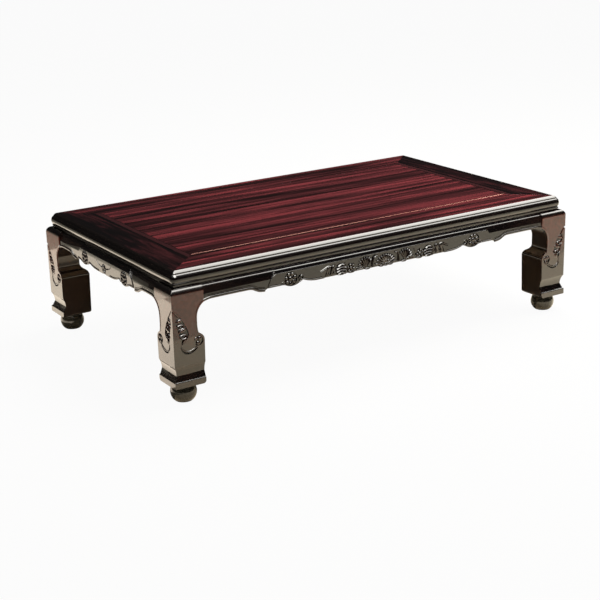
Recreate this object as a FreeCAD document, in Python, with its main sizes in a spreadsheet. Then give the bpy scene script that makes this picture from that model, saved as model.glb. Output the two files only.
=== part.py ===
# Low kotatsu table: four sawn legs, carved aprons, a lift-off framed top, screw-in ball feet
# and a fan heater hung in the middle of the frame. Millimetres, +Z up, floor at Z = 0,
# the long side along X and the front at -Y.
import FreeCAD
import Part
import Sketcher
import math
import os
from FreeCAD import Placement, Rotation, Vector

doc = FreeCAD.newDocument("kotatsu_table")

# Driving dimensions, in millimetres unless the name says otherwise
SIZES = {
    # the whole table, measured over the plinths of the legs and to the top of the panel's rim
    "table_length": 1500.0,
    "table_depth": 900.0,
    "table_height": 400.0,
    # ball feet, each with a felt washer, a stud and the leg's own glide ring inside it
    "foot_lift": 56.0,
    "foot_base_radius": 20.0,
    "foot_belly_radius": 39.0,
    "foot_belly_height": 25.0,
    "foot_rim_radius": 33.0,
    "foot_rim_height": 5.0,
    "washer_thickness": 3.0,
    "washer_radius": 30.0,
    "glide_height": 16.0,
    "glide_radius": 22.0,
    "glide_bore_radius": 8.0,
    "glide_clearance": 0.6,
    "stud_radius": 4.0,
    "stud_bite": 26.0,
    "stud_engage": 25.0,
    "stud_clearance": 0.06,
    "sleeve_radius": 7.0,
    "sleeve_length": 30.0,
    # legs, measured inwards from the plinth's outer face and upwards from its bottom
    "plinth_width": 101.0,
    "plinth_height": 20.0,
    "plinth_round": 3.2,
    "heel_round": 9.0,
    "bevel_height": 17.0,
    "neck_inset": 10.2,
    "cove_height": 30.0,
    "leg_face_inset": 2.0,
    "leg_width": 104.0,
    "knee_reach": 103.0,
    "knee_height": 134.0,
    "knee_rise": 38.0,
    "waist_reach": 80.0,
    "arch_radius": 52.0,
    "shoulder_radius": 19.0,
    "bracket_flat": 24.0,
    # aprons, their raised plaques and the step of the lower edge
    "apron_inset": 5.5,
    "apron_thickness": 28.0,
    "apron_end_height": 41.0,
    "apron_middle_height": 60.0,
    "plaque_inset": 3.5,
    "plaque_top_gap": 15.0,
    "plaque_end_lean": 28.0,
    "ogee_length": 54.0,
    "cusp_long": 440.0,
    "cusp_short": 212.0,
    "rosette_long": 340.0,
    "rosette_short": 140.0,
    "lobe_width": 63.0,
    "cusp_step": 12.0,
    "lobe_rise": 6.0,
    "lobe_drop": 2.0,
    "notch_rise": 12.0,
    "notch_run": 53.0,
    # dowels between legs and aprons
    "dowel_radius": 5.0,
    "dowel_length": 48.0,
    "dowel_inset": 21.0,
    "dowel_low": 33.0,
    "dowel_spacing": 17.0,
    "wood_clearance": 0.1,
    # corner brackets with hanger bolts, wing nuts and screws
    "bracket_thickness": 2.5,
    "bracket_height": 27.0,
    "bracket_drop": 18.0,
    "bracket_flange": 40.0,
    "bolt_radius": 4.0,
    "bolt_bite": 50.0,
    "bolt_reach": 26.0,
    "nut_radius": 8.0,
    "nut_height": 9.0,
    "wing_length": 34.0,
    "wing_height": 11.0,
    "wing_thickness": 2.4,
    "screw_radius": 2.2,
    "screw_length": 20.0,
    "screw_head_radius": 4.2,
    "screw_head_height": 2.2,
    "screw_start": 13.5,
    "screw_pitch": 18.0,
    # rails across the frame
    "rail_width": 30.0,
    "rail_height": 30.0,
    "rail_housing": 8.0,
    "rail_setback": 280.0,
    "heater_opening": 300.0,
    # anti-slip pads under the top
    "pad_thickness": 2.0,
    "pad_width": 26.0,
    "pad_inset": 44.0,
    # lift-off top: moulded rim, strips below it, panel and backing board
    "top_thickness": 45.0,
    "rim_inset": 14.0,
    "rim_flat_inset": 38.0,
    "rim_width": 110.0,
    "rim_thumb_run": 14.0,
    "rim_thumb_drop": 6.5,
    "rim_quirk": 3.0,
    "rim_bead_step": 2.0,
    "rim_height": 39.0,
    "rim_foot_inset": 7.0,
    "rim_thick_width": 60.0,
    "rim_thin_height": 24.0,
    "ledge_width": 12.0,
    "panel_edge_height": 14.0,
    "panel_sink": 0.6,
    "panel_clearance": 0.3,
    "strip_inset": 20.0,
    "strip_width": 44.0,
    "backing_thickness": 6.0,
    "backing_screw_radius": 1.8,
    "backing_screw_bite": 9.0,
    "backing_screw_inset": 94.0,
    "backing_screw_run_long": 330.0,
    "backing_screw_run_short": 210.0,
    # heater unit
    "case_width": 290.0,
    "case_height": 28.0,
    "sheet_thickness": 1.2,
    "flange_width": 332.0,
    "thumb_place_x": 157.5,
    "thumb_place_y": 90.0,
    "thumb_radius": 2.5,
    "thumb_bite": 18.0,
    "thumb_head_radius": 6.0,
    "thumb_head_height": 7.0,
    "guard_width": 296.0,
    "guard_height": 18.0,
    "guard_wall": 1.6,
    "bar_radius": 1.3,
    "bar_pitch": 17.0,
    "bar_count": 17.0,
    "stay_place": 74.0,
    "tube_radius": 5.5,
    "tube_wall": 1.0,
    "tube_length": 190.0,
    "tube_spacing": 46.0,
    "tube_row": -62.0,
    "tube_drop": 25.0,
    "element_radius": 1.6,
    "holder_length": 14.0,
    "holder_width": 17.0,
    "holder_cap": 3.0,
    "holder_bite": 11.0,
    "reflector_width": 104.0,
    "reflector_lip": 15.0,
    "reflector_drop": 7.0,
    "reflector_length": 244.0,
    "reflector_thickness": 0.8,
    "motor_radius": 19.0,
    "motor_height": 13.0,
    "fan_row": 75.0,
    "shaft_radius": 1.5,
    "shaft_clearance": 0.05,
    "fan_radius": 42.0,
    "fan_hub_radius": 11.0,
    "fan_hub_height": 10.0,
    "fan_gap": 4.0,
    "blade_count": 6.0,
    "blade_thickness": 1.6,
    "blade_run": 15.0,
    "blade_rise": 8.0,
    "thermostat_radius": 8.0,
    "thermostat_height": 6.0,
    "control_column": 100.0,
    "thermostat_row": 60.0,
    "fuse_row": 84.0,
    "fuse_radius": 2.5,
    "fuse_length": 18.0,
    "terminal_length": 44.0,
    "terminal_width": 18.0,
    "terminal_height": 12.0,
    "terminal_column": 91.0,
    "inlet_length": 40.0,
    "inlet_width": 22.0,
    "inlet_height": 17.0,
    "inlet_wall": 2.5,
    "inlet_depth": 15.0,
    "inlet_pin_radius": 1.6,
    "inlet_pin_spacing": 12.0,
    "wire_radius": 1.0,
    "wire_rise": 1.5,
}

CUT_MARGIN = 2.0
DIAGONAL = math.sqrt(0.5)
COVE_SAG = 0.24
KNEE_SAG = 0.27
KNEE_LIFT = 0.585
ARC_SAG = 0.23
NOTCH_SAG = 0.25
WELD_SINK = 0.2
LONG_SCREW_STEPS = (-1.5, -0.5, 0.5, 1.5)
SHORT_SCREW_STEPS = (-1.0, 0.0, 1.0)
SIDES = ("front", "right", "back", "left")
CORNERS = ("front_left", "front_right", "back_right", "back_left")

sheet = doc.addObject("Spreadsheet::Sheet", "Sizes")
for row, (alias, amount) in enumerate(SIZES.items(), start=1):
    sheet.set(f"A{row}", alias)
    sheet.set(f"B{row}", str(amount))
    sheet.setAlias(f"B{row}", alias)
doc.recompute()


class Size:
    """A value together with the sheet expression that gives it."""

    def __init__(self, value, text):
        self.value = value
        self.text = text

    def __add__(self, other):
        other = as_size(other)
        return Size(self.value + other.value, f"({self.text} + {other.text})")

    def __sub__(self, other):
        other = as_size(other)
        return Size(self.value - other.value, f"({self.text} - {other.text})")

    def __mul__(self, other):
        other = as_size(other)
        return Size(self.value * other.value, f"({self.text} * {other.text})")

    def __truediv__(self, other):
        other = as_size(other)
        return Size(self.value / other.value, f"({self.text} / {other.text})")

    def __neg__(self):
        return Size(-self.value, f"(0 - {self.text})")

    def __rmul__(self, other):
        return self * other


def as_size(amount):
    return amount if isinstance(amount, Size) else Size(float(amount), repr(float(amount)))


def root(amount):
    return Size(math.sqrt(amount.value), f"sqrt({amount.text})")


def size(alias):
    return Size(SIZES[alias], f"Sizes.{alias}")


def bind(item, name, amount):
    item.setExpression(name, as_size(amount).text)


def place(item, x, y, z, rotation=None):
    """Puts an object at a place that follows the sheet, turned by a fixed rotation."""
    spot = [as_size(amount) for amount in (x, y, z)]
    turn = rotation or Rotation()
    item.Placement = Placement(Vector(*[amount.value for amount in spot]), turn)
    for axis, amount in zip("xyz", spot):
        bind(item, f"Placement.Base.{axis}", amount)
    return item


# Levels that several pieces share
half_length = size("table_length") / 2
half_depth = size("table_depth") / 2
table_height = size("table_height")
foot_lift = size("foot_lift")
top_underside = table_height - size("top_thickness")
frame_top = top_underside - size("pad_thickness")
rail_bottom = frame_top - size("rail_height")
joint_inset = size("leg_face_inset") + size("leg_width")
apron_back = size("apron_inset") + size("apron_thickness")
waist_reach = size("waist_reach")
apron_end_low = frame_top - size("apron_end_height")
arch_radius = size("arch_radius")
arch_centre_z = apron_end_low - arch_radius
arch_centre_u = waist_reach + arch_radius
wood_clearance = size("wood_clearance")


def arch_level(inset):
    """Height of the arch between a leg and an apron, at a place inwards from the outer face."""
    gap = arch_centre_u - inset
    return arch_centre_z + root(arch_radius * arch_radius - gap * gap)


arch_joint_z = arch_level(joint_inset)


def side_spot(side, along, inset):
    """World X and Y of a point of one side: along it from its middle, and inwards from its edge."""
    half_x, half_y = half_length, half_depth
    spots = {
        "front": (as_size(along), inset - half_y),
        "right": (half_x - inset, as_size(along)),
        "back": (-as_size(along), half_y - inset),
        "left": (inset - half_x, -as_size(along)),
    }
    return spots[side]


def corner_spot(corner, u, v):
    """World X and Y of a point of one corner, u and v inwards from the two outer faces."""
    u, v = as_size(u), as_size(v)
    spots = {
        "front_left": (u - half_length, v - half_depth),
        "front_right": (half_length - v, u - half_depth),
        "back_right": (half_length - u, half_depth - v),
        "back_left": (v - half_length, half_depth - u),
    }
    return spots[corner]


def quarter_turn(index):
    return Rotation(Vector(0, 0, 1), 90.0 * index)


def along_side(item, side):
    x, y = side_spot(side, 0.0, as_size(0.0))
    return place(item, x, y, 0.0, quarter_turn(SIDES.index(side)))


def at_corner(item, corner):
    x, y = corner_spot(corner, 0.0, 0.0)
    return place(item, x, y, 0.0, quarter_turn(CORNERS.index(corner)))


def new_body(label):
    body = doc.addObject("PartDesign::Body", label)
    body.Label = label
    return body


def new_sketch(body, plane_role, height=None, turn=None, shift=None):
    """A sketch on one of the body's origin planes, lifted along the plane's normal."""
    sketch = body.newObject("Sketcher::SketchObject", "Sketch")
    plane = next(item for item in body.Origin.OriginFeatures if item.Role == plane_role)
    sketch.AttachmentSupport = [(plane, "")]
    sketch.MapMode = "FlatFace"
    base = list(shift) if shift else [as_size(0.0), as_size(0.0), as_size(height or 0.0)]
    sketch.AttachmentOffset = Placement(Vector(*[amount.value for amount in base]), turn or Rotation())
    for axis, amount in zip("xyz", base):
        if amount.value:
            bind(sketch, f"AttachmentOffset.Base.{axis}", amount)
    return sketch


def pin_point(sketch, geometry, position, x, y):
    """Ties one point of a sketch to its two coordinates."""
    for kind, amount in (("DistanceX", as_size(x)), ("DistanceY", as_size(y))):
        if amount.value == 0.0:
            axis = -2 if kind == "DistanceX" else -1
            sketch.addConstraint(Sketcher.Constraint("PointOnObject", geometry, position, axis))
            continue
        index = sketch.addConstraint(Sketcher.Constraint(kind, -1, 1, geometry, position, amount.value))
        bind(sketch, f"Constraints[{index}]", amount)


def arc_through(start, middle, end):
    """The arc of a circle through three points, and whether it runs anticlockwise."""
    circle = Part.Circle(Vector(*start, 0), Vector(*middle, 0), Vector(*end, 0))
    centre = circle.Center
    turn = (middle[0] - start[0]) * (end[1] - middle[1]) - (middle[1] - start[1]) * (end[0] - middle[0])
    first, last = (start, end) if turn > 0 else (end, start)
    angles = [math.atan2(point[1] - centre.y, point[0] - centre.x) for point in (first, last)]
    if angles[1] <= angles[0]:
        angles[1] += 2 * math.pi
    flat = Part.Circle(centre, Vector(0, 0, 1), circle.Radius)
    return Part.ArcOfCircle(flat, angles[0], angles[1]), turn > 0


def outline(sketch, steps):
    """Draws a closed outline. A step is an end point, or a point on an arc and its end point."""
    ends = [step[-1] for step in steps]
    starts = [ends[-1]] + ends[:-1]
    joints = []
    for start, step in zip(starts, steps):
        points = [tuple(as_size(amount).value for amount in point) for point in (start, *step)]
        if len(step) == 1:
            segment = Part.LineSegment(Vector(*points[0], 0), Vector(*points[1], 0))
            joints.append((sketch.addGeometry(segment), 1, 2))
            continue
        arc, anticlockwise = arc_through(*points)
        index = sketch.addGeometry(arc)
        joints.append((index, 1, 2) if anticlockwise else (index, 2, 1))
        mark = sketch.addGeometry(Part.Point(Vector(*points[1], 0)), True)
        sketch.addConstraint(Sketcher.Constraint("PointOnObject", mark, 1, index))
        pin_point(sketch, mark, 1, *step[0])
    for step, (index, _, end), following in zip(steps, joints, joints[1:] + joints[:1]):
        sketch.addConstraint(Sketcher.Constraint("Coincident", index, end, following[0], following[1]))
        pin_point(sketch, index, end, *step[-1])


def rectangle(sketch, low_x, high_x, low_y, high_y):
    outline(sketch, [[(low_x, low_y)], [(high_x, low_y)], [(high_x, high_y)], [(low_x, high_y)]])


def circle(sketch, x, y, radius):
    radius = as_size(radius)
    centre = Vector(as_size(x).value, as_size(y).value, 0)
    index = sketch.addGeometry(Part.Circle(centre, Vector(0, 0, 1), radius.value))
    pin_point(sketch, index, 3, x, y)
    constraint = sketch.addConstraint(Sketcher.Constraint("Radius", index, radius.value))
    bind(sketch, f"Constraints[{constraint}]", radius)


def pad(body, sketch, length, back=False, both=False):
    """Adds the sketch's area to the body. The XZ plane faces -Y, so back makes it grow to +Y."""
    feature = body.newObject("PartDesign::Pad", "Pad")
    feature.Profile = sketch
    feature.Reversed = back
    feature.SideType = "Symmetric" if both else "One side"
    bind(feature, "Length", length)
    return feature


def pocket(body, sketch, length=None, back=False, both=False):
    """Cuts the sketch's area from the body, right through when no length is given."""
    feature = body.newObject("PartDesign::Pocket", "Pocket")
    feature.Profile = sketch
    feature.Reversed = back
    feature.SideType = "Symmetric" if both else "One side"
    if length is None:
        feature.Type = "ThroughAll"
    else:
        bind(feature, "Length", length)
    return feature


def revolve(body, sketch):
    feature = body.newObject("PartDesign::Revolution", "Revolution")
    feature.Profile = sketch
    feature.ReferenceAxis = (sketch, ["V_Axis"])
    feature.Angle = 360.0
    return feature


def cylinder(radius, height, x, y, z, rotation=None):
    item = doc.addObject("Part::Cylinder", "Round")
    bind(item, "Radius", radius)
    bind(item, "Height", height)
    return place(item, x, y, z, rotation)


def block(length, width, height, x, y, z, rotation=None):
    """A box whose place is its lowest corner."""
    item = doc.addObject("Part::Box", "Block")
    bind(item, "Length", length)
    bind(item, "Width", width)
    bind(item, "Height", height)
    return place(item, x, y, z, rotation)


def centred_block(length, width, height, x, y, z):
    return block(length, width, height, as_size(x) - length / 2, as_size(y) - width / 2, z)


def fuse(items):
    item = doc.addObject("Part::MultiFuse", "Joined")
    item.Shapes = items
    return item


def cut(base, tools):
    item = doc.addObject("Part::Cut", "Cut")
    item.Base = base
    item.Tool = tools[0] if len(tools) == 1 else fuse(tools)
    return item


def group(items):
    item = doc.addObject("Part::Compound", "Group")
    item.Links = items
    return item


sub_parts = {}


def keep(label, item):
    """Names an object as a finished piece of the table."""
    item.Label = label
    sub_parts[label] = item
    return item


# Legs: a square blank sawn to the same outline from two sides
plinth_bottom = foot_lift
plinth_top = plinth_bottom + size("plinth_height")
neck_z = plinth_top + size("bevel_height")
cove_top = neck_z + size("cove_height")
knee_z = plinth_bottom + size("knee_height")
plinth_width = size("plinth_width")
plinth_middle = plinth_width / 2
neck_outer = size("neck_inset")
leg_face = size("leg_face_inset")
knee_reach = size("knee_reach")
knee_step = (knee_reach - waist_reach) / 2
knee_half = size("knee_rise") / 2
waist_z = knee_z + size("knee_rise")
heel = size("heel_round")
plinth_round = size("plinth_round")
shoulder = size("shoulder_radius")
shoulder_low = frame_top - shoulder
shoulder_nose = (leg_face + shoulder * (1 - DIAGONAL), shoulder_low + shoulder * DIAGONAL)
cove_middle = neck_z + size("cove_height") / 2
arch_bend = (waist_reach + joint_inset) / 2

LEG_OUTLINE = [
    [(plinth_width - heel, plinth_bottom)],
    [
        (plinth_width - heel * (1 - DIAGONAL), plinth_bottom + heel * (1 - DIAGONAL)),
        (plinth_width, plinth_bottom + heel),
    ],
    [(knee_reach, knee_z)],
    [
        (knee_reach - knee_step * KNEE_SAG, knee_z + knee_half * KNEE_LIFT),
        (knee_reach - knee_step, knee_z + knee_half),
    ],
    [(waist_reach + knee_step * KNEE_SAG, waist_z - knee_half * KNEE_LIFT), (waist_reach, waist_z)],
    [(waist_reach, arch_centre_z)],
    [(arch_bend, arch_level(arch_bend)), (joint_inset, arch_joint_z)],
    [(joint_inset, frame_top)],
    [(leg_face + shoulder, frame_top)],
    [shoulder_nose, (leg_face, shoulder_low)],
    [(leg_face, cove_top)],
    [(neck_outer - COVE_SAG * (neck_outer - leg_face), cove_middle), (neck_outer, neck_z)],
    [(plinth_round, plinth_top)],
    [
        (plinth_round * (1 - DIAGONAL), plinth_top - plinth_round * (1 - DIAGONAL)),
        (0.0, plinth_top - plinth_round),
    ],
    [(0.0, plinth_bottom)],
]

bracket_line = joint_inset * 2 - size("bracket_flat")
bracket_z = frame_top - size("bracket_drop")
dowel_hole_radius = size("dowel_radius") + wood_clearance
dowel_hole_depth = size("dowel_length") / 2 + wood_clearance
dowel_levels = [frame_top - size("dowel_low"), frame_top - size("dowel_low") + size("dowel_spacing")]
BOLT_TURN = Rotation(Vector(0, 0, 1), 135.0) * Rotation(Vector(1, 0, 0), 90.0)


def leg(corner):
    body = new_body(f"leg_{corner}")
    blank = new_sketch(body, "XZ_Plane")
    outline(blank, LEG_OUTLINE)
    pad(body, blank, joint_inset, back=True)
    waste = new_sketch(body, "YZ_Plane")
    rectangle(waste, -as_size(CUT_MARGIN), joint_inset + CUT_MARGIN, foot_lift / 2, table_height)
    outline(waste, LEG_OUTLINE)
    pocket(body, waste, both=True)
    flat = new_sketch(body, "XY_Plane", arch_joint_z)
    near, far = bracket_line - joint_inset, joint_inset + CUT_MARGIN
    outline(flat, [
        [(joint_inset, near)],
        [(far, near - CUT_MARGIN)],
        [(far, far)],
        [(near - CUT_MARGIN, far)],
    ])
    pocket(body, flat, back=True)
    sleeve_hole = new_sketch(body, "XY_Plane", plinth_bottom)
    circle(sleeve_hole, plinth_middle, plinth_middle, size("sleeve_radius") + wood_clearance)
    pocket(body, sleeve_hole, size("sleeve_length") + CUT_MARGIN, back=True)
    for plane_role, normal_way in (("YZ_Plane", 1), ("XZ_Plane", -1)):
        holes = new_sketch(body, plane_role, joint_inset * normal_way)
        for level in dowel_levels:
            circle(holes, size("dowel_inset"), level, dowel_hole_radius)
        pocket(body, holes, dowel_hole_depth, back=normal_way < 0)
    face_middle = bracket_line / 2
    bolt_hole = new_sketch(body, "XY_Plane", turn=BOLT_TURN, shift=(face_middle, face_middle, bracket_z))
    circle(bolt_hole, 0.0, 0.0, size("bolt_radius") + wood_clearance)
    pocket(body, bolt_hole, size("bolt_bite") + CUT_MARGIN)
    at_corner(body, corner)
    return body


for corner_name in CORNERS:
    keep(f"leg_{corner_name}", leg(corner_name))


# Aprons: a board with a rounded shoulder, a raised plaque and a shaped lower edge
apron_low = frame_top - size("apron_middle_height")
plaque_top = frame_top - size("plaque_top_gap")
lobe_half = size("lobe_width") / 2
flange_start = bracket_line - apron_back
first_screw = flange_start + size("screw_start")
screw_runs = [first_screw, first_screw + size("screw_pitch")]
outer_rail = half_length - size("rail_setback")
heater_rail = (size("heater_opening") + size("rail_width")) / 2
rail_places = {
    "rail_left": -outer_rail,
    "heater_rail_left": -heater_rail,
    "heater_rail_right": heater_rail,
    "rail_right": outer_rail,
}


def lower_edge(end_foot, rosette):
    """The lower edge of the middle, from the foot of one plaque end to that of the other."""
    notch = rosette - lobe_half
    notch_rise = size("notch_rise")
    half = [
        [(rosette + lobe_half, apron_low + size("lobe_rise"))],
        [(rosette, apron_low - size("lobe_drop")), (notch, apron_low + notch_rise)],
        [
            (notch - size("notch_run") / 2, apron_low + NOTCH_SAG * notch_rise),
            (notch - size("notch_run"), apron_low),
        ],
    ]
    mirrored = [
        [(-half[2][-1][0], apron_low)],
        [(-half[2][0][0], half[2][0][1]), (-half[1][-1][0], half[1][-1][1])],
        [(-half[1][0][0], half[1][0][1]), (-half[0][-1][0], half[0][-1][1])],
        [(-end_foot, apron_low + size("lobe_rise"))],
    ]
    return half + mirrored


def apron(side):
    long_side = side in ("front", "back")
    reach = size("cusp_long" if long_side else "cusp_short")
    rosette = size("rosette_long" if long_side else "rosette_short")
    half = (half_length if long_side else half_depth) - joint_inset
    arch_end = (half_length if long_side else half_depth) - arch_centre_u
    arch_middle = (joint_inset + arch_centre_u) / 2
    arch_bend_x = (half_length if long_side else half_depth) - arch_middle
    arch_mid_z = arch_level(arch_middle)
    step_start = reach + size("ogee_length")
    step_middle = reach + size("ogee_length") / 2
    step_half = (apron_end_low - apron_low) / 2
    step_mid_z = apron_low + step_half
    step_high = (step_middle + size("ogee_length") / 4, apron_end_low - ARC_SAG * step_half)
    step_low = (step_middle - size("ogee_length") / 4, apron_low + ARC_SAG * step_half)

    body = new_body(f"apron_{side}")
    board = new_sketch(body, "XZ_Plane", -size("apron_inset"))
    right_end = [
        [(half, frame_top)],
        [(half, arch_joint_z)],
        [(arch_bend_x, arch_mid_z), (arch_end, apron_end_low)],
        [(step_start, apron_end_low)],
        [step_high, (step_middle, step_mid_z)],
        [step_low, (reach, apron_low)],
    ]
    left_end = [
        [(-reach, apron_low)],
        [(-step_low[0], step_low[1]), (-step_middle, step_mid_z)],
        [(-step_high[0], step_high[1]), (-step_start, apron_end_low)],
        [(-arch_end, apron_end_low)],
        [(-arch_bend_x, arch_mid_z), (-half, arch_joint_z)],
        [(-half, frame_top)],
    ]
    end_foot = reach - size("cusp_step")
    foot_level = apron_low + size("lobe_rise")
    outline(board, right_end + [[(end_foot, foot_level)]] + lower_edge(end_foot, rosette) + left_end)
    pad(body, board, size("apron_thickness"), back=True)

    waste = new_sketch(body, "YZ_Plane")
    face = size("apron_inset")
    nose = (face + shoulder * (1 - DIAGONAL), shoulder_low + shoulder * DIAGONAL)
    outline(waste, [
        [(face, shoulder_low)],
        [nose, (face + shoulder, frame_top)],
        [(face + shoulder, frame_top + CUT_MARGIN)],
        [(face - CUT_MARGIN, frame_top + CUT_MARGIN)],
        [(face - CUT_MARGIN, shoulder_low)],
    ])
    pocket(body, waste, both=True)

    plaque = new_sketch(body, "XZ_Plane", -size("plaque_inset"))
    end_head = end_foot - size("plaque_end_lean")
    end_bulge = (end_foot - size("plaque_end_lean") / 4, (plaque_top + foot_level) / 2)
    outline(plaque, lower_edge(end_foot, rosette) + [
        [(-end_bulge[0], end_bulge[1]), (-end_head, plaque_top)],
        [(end_head, plaque_top)],
        [end_bulge, (end_foot, foot_level)],
    ])
    pad(body, plaque, size("apron_inset") - size("plaque_inset") + shoulder, back=True)

    for way in (1, -1):
        holes = new_sketch(body, "YZ_Plane", half * way)
        for level in dowel_levels:
            circle(holes, size("dowel_inset"), level, dowel_hole_radius)
        pocket(body, holes, dowel_hole_depth, back=way < 0)
    pilots = new_sketch(body, "XZ_Plane", -apron_back)
    edge = half_length if long_side else half_depth
    for way in (1, -1):
        for run in screw_runs:
            circle(pilots, (edge - run) * way, bracket_z, size("screw_radius") + wood_clearance)
    pocket(body, pilots, size("screw_length") + wood_clearance, back=True)
    if long_side:
        housings = new_sketch(body, "XZ_Plane", -apron_back)
        slot_half = size("rail_width") / 2 + wood_clearance
        slot_low = rail_bottom - wood_clearance
        for spot in rail_places.values():
            rectangle(housings, spot - slot_half, spot + slot_half, slot_low, table_height)
        pocket(body, housings, size("rail_housing") + wood_clearance, back=True)
    along_side(body, side)
    return body


for side_name in SIDES:
    keep(f"apron_{side_name}", apron(side_name))


# Threaded sleeves in the legs, and the low glide rings that the table stands on without its ball feet
def ring(radius, bore, height, x, y, z):
    hole = cylinder(bore, height + 2 * CUT_MARGIN, x, y, as_size(z) - CUT_MARGIN)
    return cut(cylinder(radius, height, x, y, z), [hole])


foot_spots = {corner: corner_spot(corner, plinth_middle, plinth_middle) for corner in CORNERS}
stud_bore = size("stud_radius") + size("stud_clearance")
glide_low = foot_lift - size("glide_height")
sleeves = [ring(size("sleeve_radius"), stud_bore, size("sleeve_length"), *spot, foot_lift)
           for spot in foot_spots.values()]
keep("leg_sleeves", group(sleeves))
glides = [ring(size("glide_radius"), size("glide_bore_radius"), size("glide_height"), *spot, glide_low)
          for spot in foot_spots.values()]
keep("leg_glides", group(glides))


# Ball feet, turned, with a well for the glide ring and a socket for the stud
foot_top = foot_lift - size("washer_thickness")
well_radius = size("glide_radius") + size("glide_clearance")
well_bottom = glide_low - size("glide_clearance")
stud_bottom = well_bottom - size("stud_bite")
stud_length = foot_lift + size("stud_engage") - stud_bottom


def ball_foot(corner):
    body = new_body(f"foot_{corner}")
    profile = new_sketch(body, "XZ_Plane")
    outline(profile, [
        [(size("foot_base_radius"), 0.0)],
        [
            (size("foot_belly_radius"), size("foot_belly_height")),
            (size("foot_rim_radius"), foot_top - size("foot_rim_height")),
        ],
        [(size("foot_rim_radius"), foot_top)],
        [(well_radius, foot_top)],
        [(well_radius, well_bottom)],
        [(stud_bore, well_bottom)],
        [(stud_bore, stud_bottom)],
        [(0.0, stud_bottom)],
        [(0.0, 0.0)],
    ])
    revolve(body, profile)
    place(body, *foot_spots[corner], 0.0)
    return body


for corner_name, spot in foot_spots.items():
    keep(f"foot_{corner_name}", ball_foot(corner_name))
    keep(f"foot_stud_{corner_name}", cylinder(size("stud_radius"), stud_length, *spot, stud_bottom))
    washer_bore = well_radius + size("glide_clearance")
    washer = ring(size("washer_radius"), washer_bore, size("washer_thickness"), *spot, foot_top)
    keep(f"foot_washer_{corner_name}", washer)


# Dowels, two in each joint between a leg and an apron
ALONG_X = Rotation(Vector(0, 1, 0), 90.0)
ALONG_Y = Rotation(Vector(1, 0, 0), -90.0)
dowels = []
for index, side_name in enumerate(SIDES):
    half_side = half_length if side_name in ("front", "back") else half_depth
    for way in (1, -1):
        joint = (half_side - joint_inset) * way
        x, y = side_spot(side_name, joint - size("dowel_length") / 2, size("dowel_inset"))
        for level in dowel_levels:
            turn = quarter_turn(index) * ALONG_X
            dowels.append(cylinder(size("dowel_radius"), size("dowel_length"), x, y, level, turn))
keep("apron_dowels", group(dowels))


# Corner brackets of bent steel plate, screwed to the aprons and bolted to the legs
bracket_plate = size("bracket_thickness")
bracket_face = apron_back + bracket_plate
bracket_inner_line = bracket_line + bracket_plate / DIAGONAL
bolt_column = bracket_line / 2


def corner_bracket(corner):
    body = new_body("corner_bracket")
    strip = new_sketch(body, "XY_Plane", bracket_z - size("bracket_height") / 2)
    tip = flange_start + size("bracket_flange")
    outline(strip, [
        [(tip, apron_back)],
        [(tip, bracket_face)],
        [(bracket_inner_line - bracket_face, bracket_face)],
        [(bracket_face, bracket_inner_line - bracket_face)],
        [(bracket_face, tip)],
        [(apron_back, tip)],
        [(apron_back, flange_start)],
        [(flange_start, apron_back)],
    ])
    pad(body, strip, size("bracket_height"))
    for plane_role, normal_way in (("YZ_Plane", 1), ("XZ_Plane", -1)):
        holes = new_sketch(body, plane_role, bracket_face * normal_way)
        for run in screw_runs:
            circle(holes, run, bracket_z, size("screw_radius") + wood_clearance)
        pocket(body, holes, bracket_plate + CUT_MARGIN, back=normal_way < 0)
    bolt_hole = new_sketch(body, "XY_Plane", turn=BOLT_TURN, shift=(bolt_column, bolt_column, bracket_z))
    circle(bolt_hole, 0.0, 0.0, size("bolt_radius") + wood_clearance)
    pocket(body, bolt_hole, both=True)
    return at_corner(body, corner)


keep("corner_brackets", group([corner_bracket(corner) for corner in CORNERS]))


def bolt_spot(corner, along, across=0.0):
    """World X and Y of a point beside a hanger bolt, along it from the leg's flat and across it."""
    run, drift = as_size(along) * DIAGONAL, as_size(across) * DIAGONAL
    return corner_spot(corner, bolt_column + run + drift, bolt_column + run - drift)


bolts, wing_nuts, bracket_screws = [], [], []
for index, corner_name in enumerate(CORNERS):
    across_turn = quarter_turn(index) * Rotation(Vector(0, 0, 1), 45.0)
    along_bolt = across_turn * ALONG_X
    bolt_length = size("bolt_bite") + bracket_plate + size("bolt_reach")
    bolt_end = bolt_spot(corner_name, -size("bolt_bite"))
    bolts.append(cylinder(size("bolt_radius"), bolt_length, *bolt_end, bracket_z, along_bolt))
    nut_seat = bolt_spot(corner_name, bracket_plate)
    nut_hub = cylinder(size("nut_radius"), size("nut_height"), *nut_seat, bracket_z, along_bolt)
    wing_seat = bolt_spot(corner_name, bracket_plate + size("nut_height") / 2, size("wing_length") / 2)
    wing_low = bracket_z - size("wing_thickness") / 2
    wing = block(size("wing_height"), size("wing_length"), size("wing_thickness"), *wing_seat, wing_low,
                 across_turn)
    nut_bore_radius = size("bolt_radius") + wood_clearance
    nut_bore_length = size("nut_height") + size("wing_height") + CUT_MARGIN
    nut_bore = cylinder(nut_bore_radius, nut_bore_length, *nut_seat, bracket_z, along_bolt)
    wing_nuts.append(cut(fuse([nut_hub, wing]), [nut_bore]))
    for run in screw_runs:
        for inward, turn in (("v", ALONG_Y), ("u", ALONG_X)):
            tip = apron_back - size("screw_length")
            shank_spot = (run, tip) if inward == "v" else (tip, run)
            head_spot = (run, bracket_face) if inward == "v" else (bracket_face, run)
            screw_turn = quarter_turn(index) * turn
            shank = cylinder(size("screw_radius"), size("screw_length") + bracket_plate,
                             *corner_spot(corner_name, *shank_spot), bracket_z, screw_turn)
            head = cylinder(size("screw_head_radius"), size("screw_head_height"),
                            *corner_spot(corner_name, *head_spot), bracket_z, screw_turn)
            bracket_screws.append(fuse([shank, head]))
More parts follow.
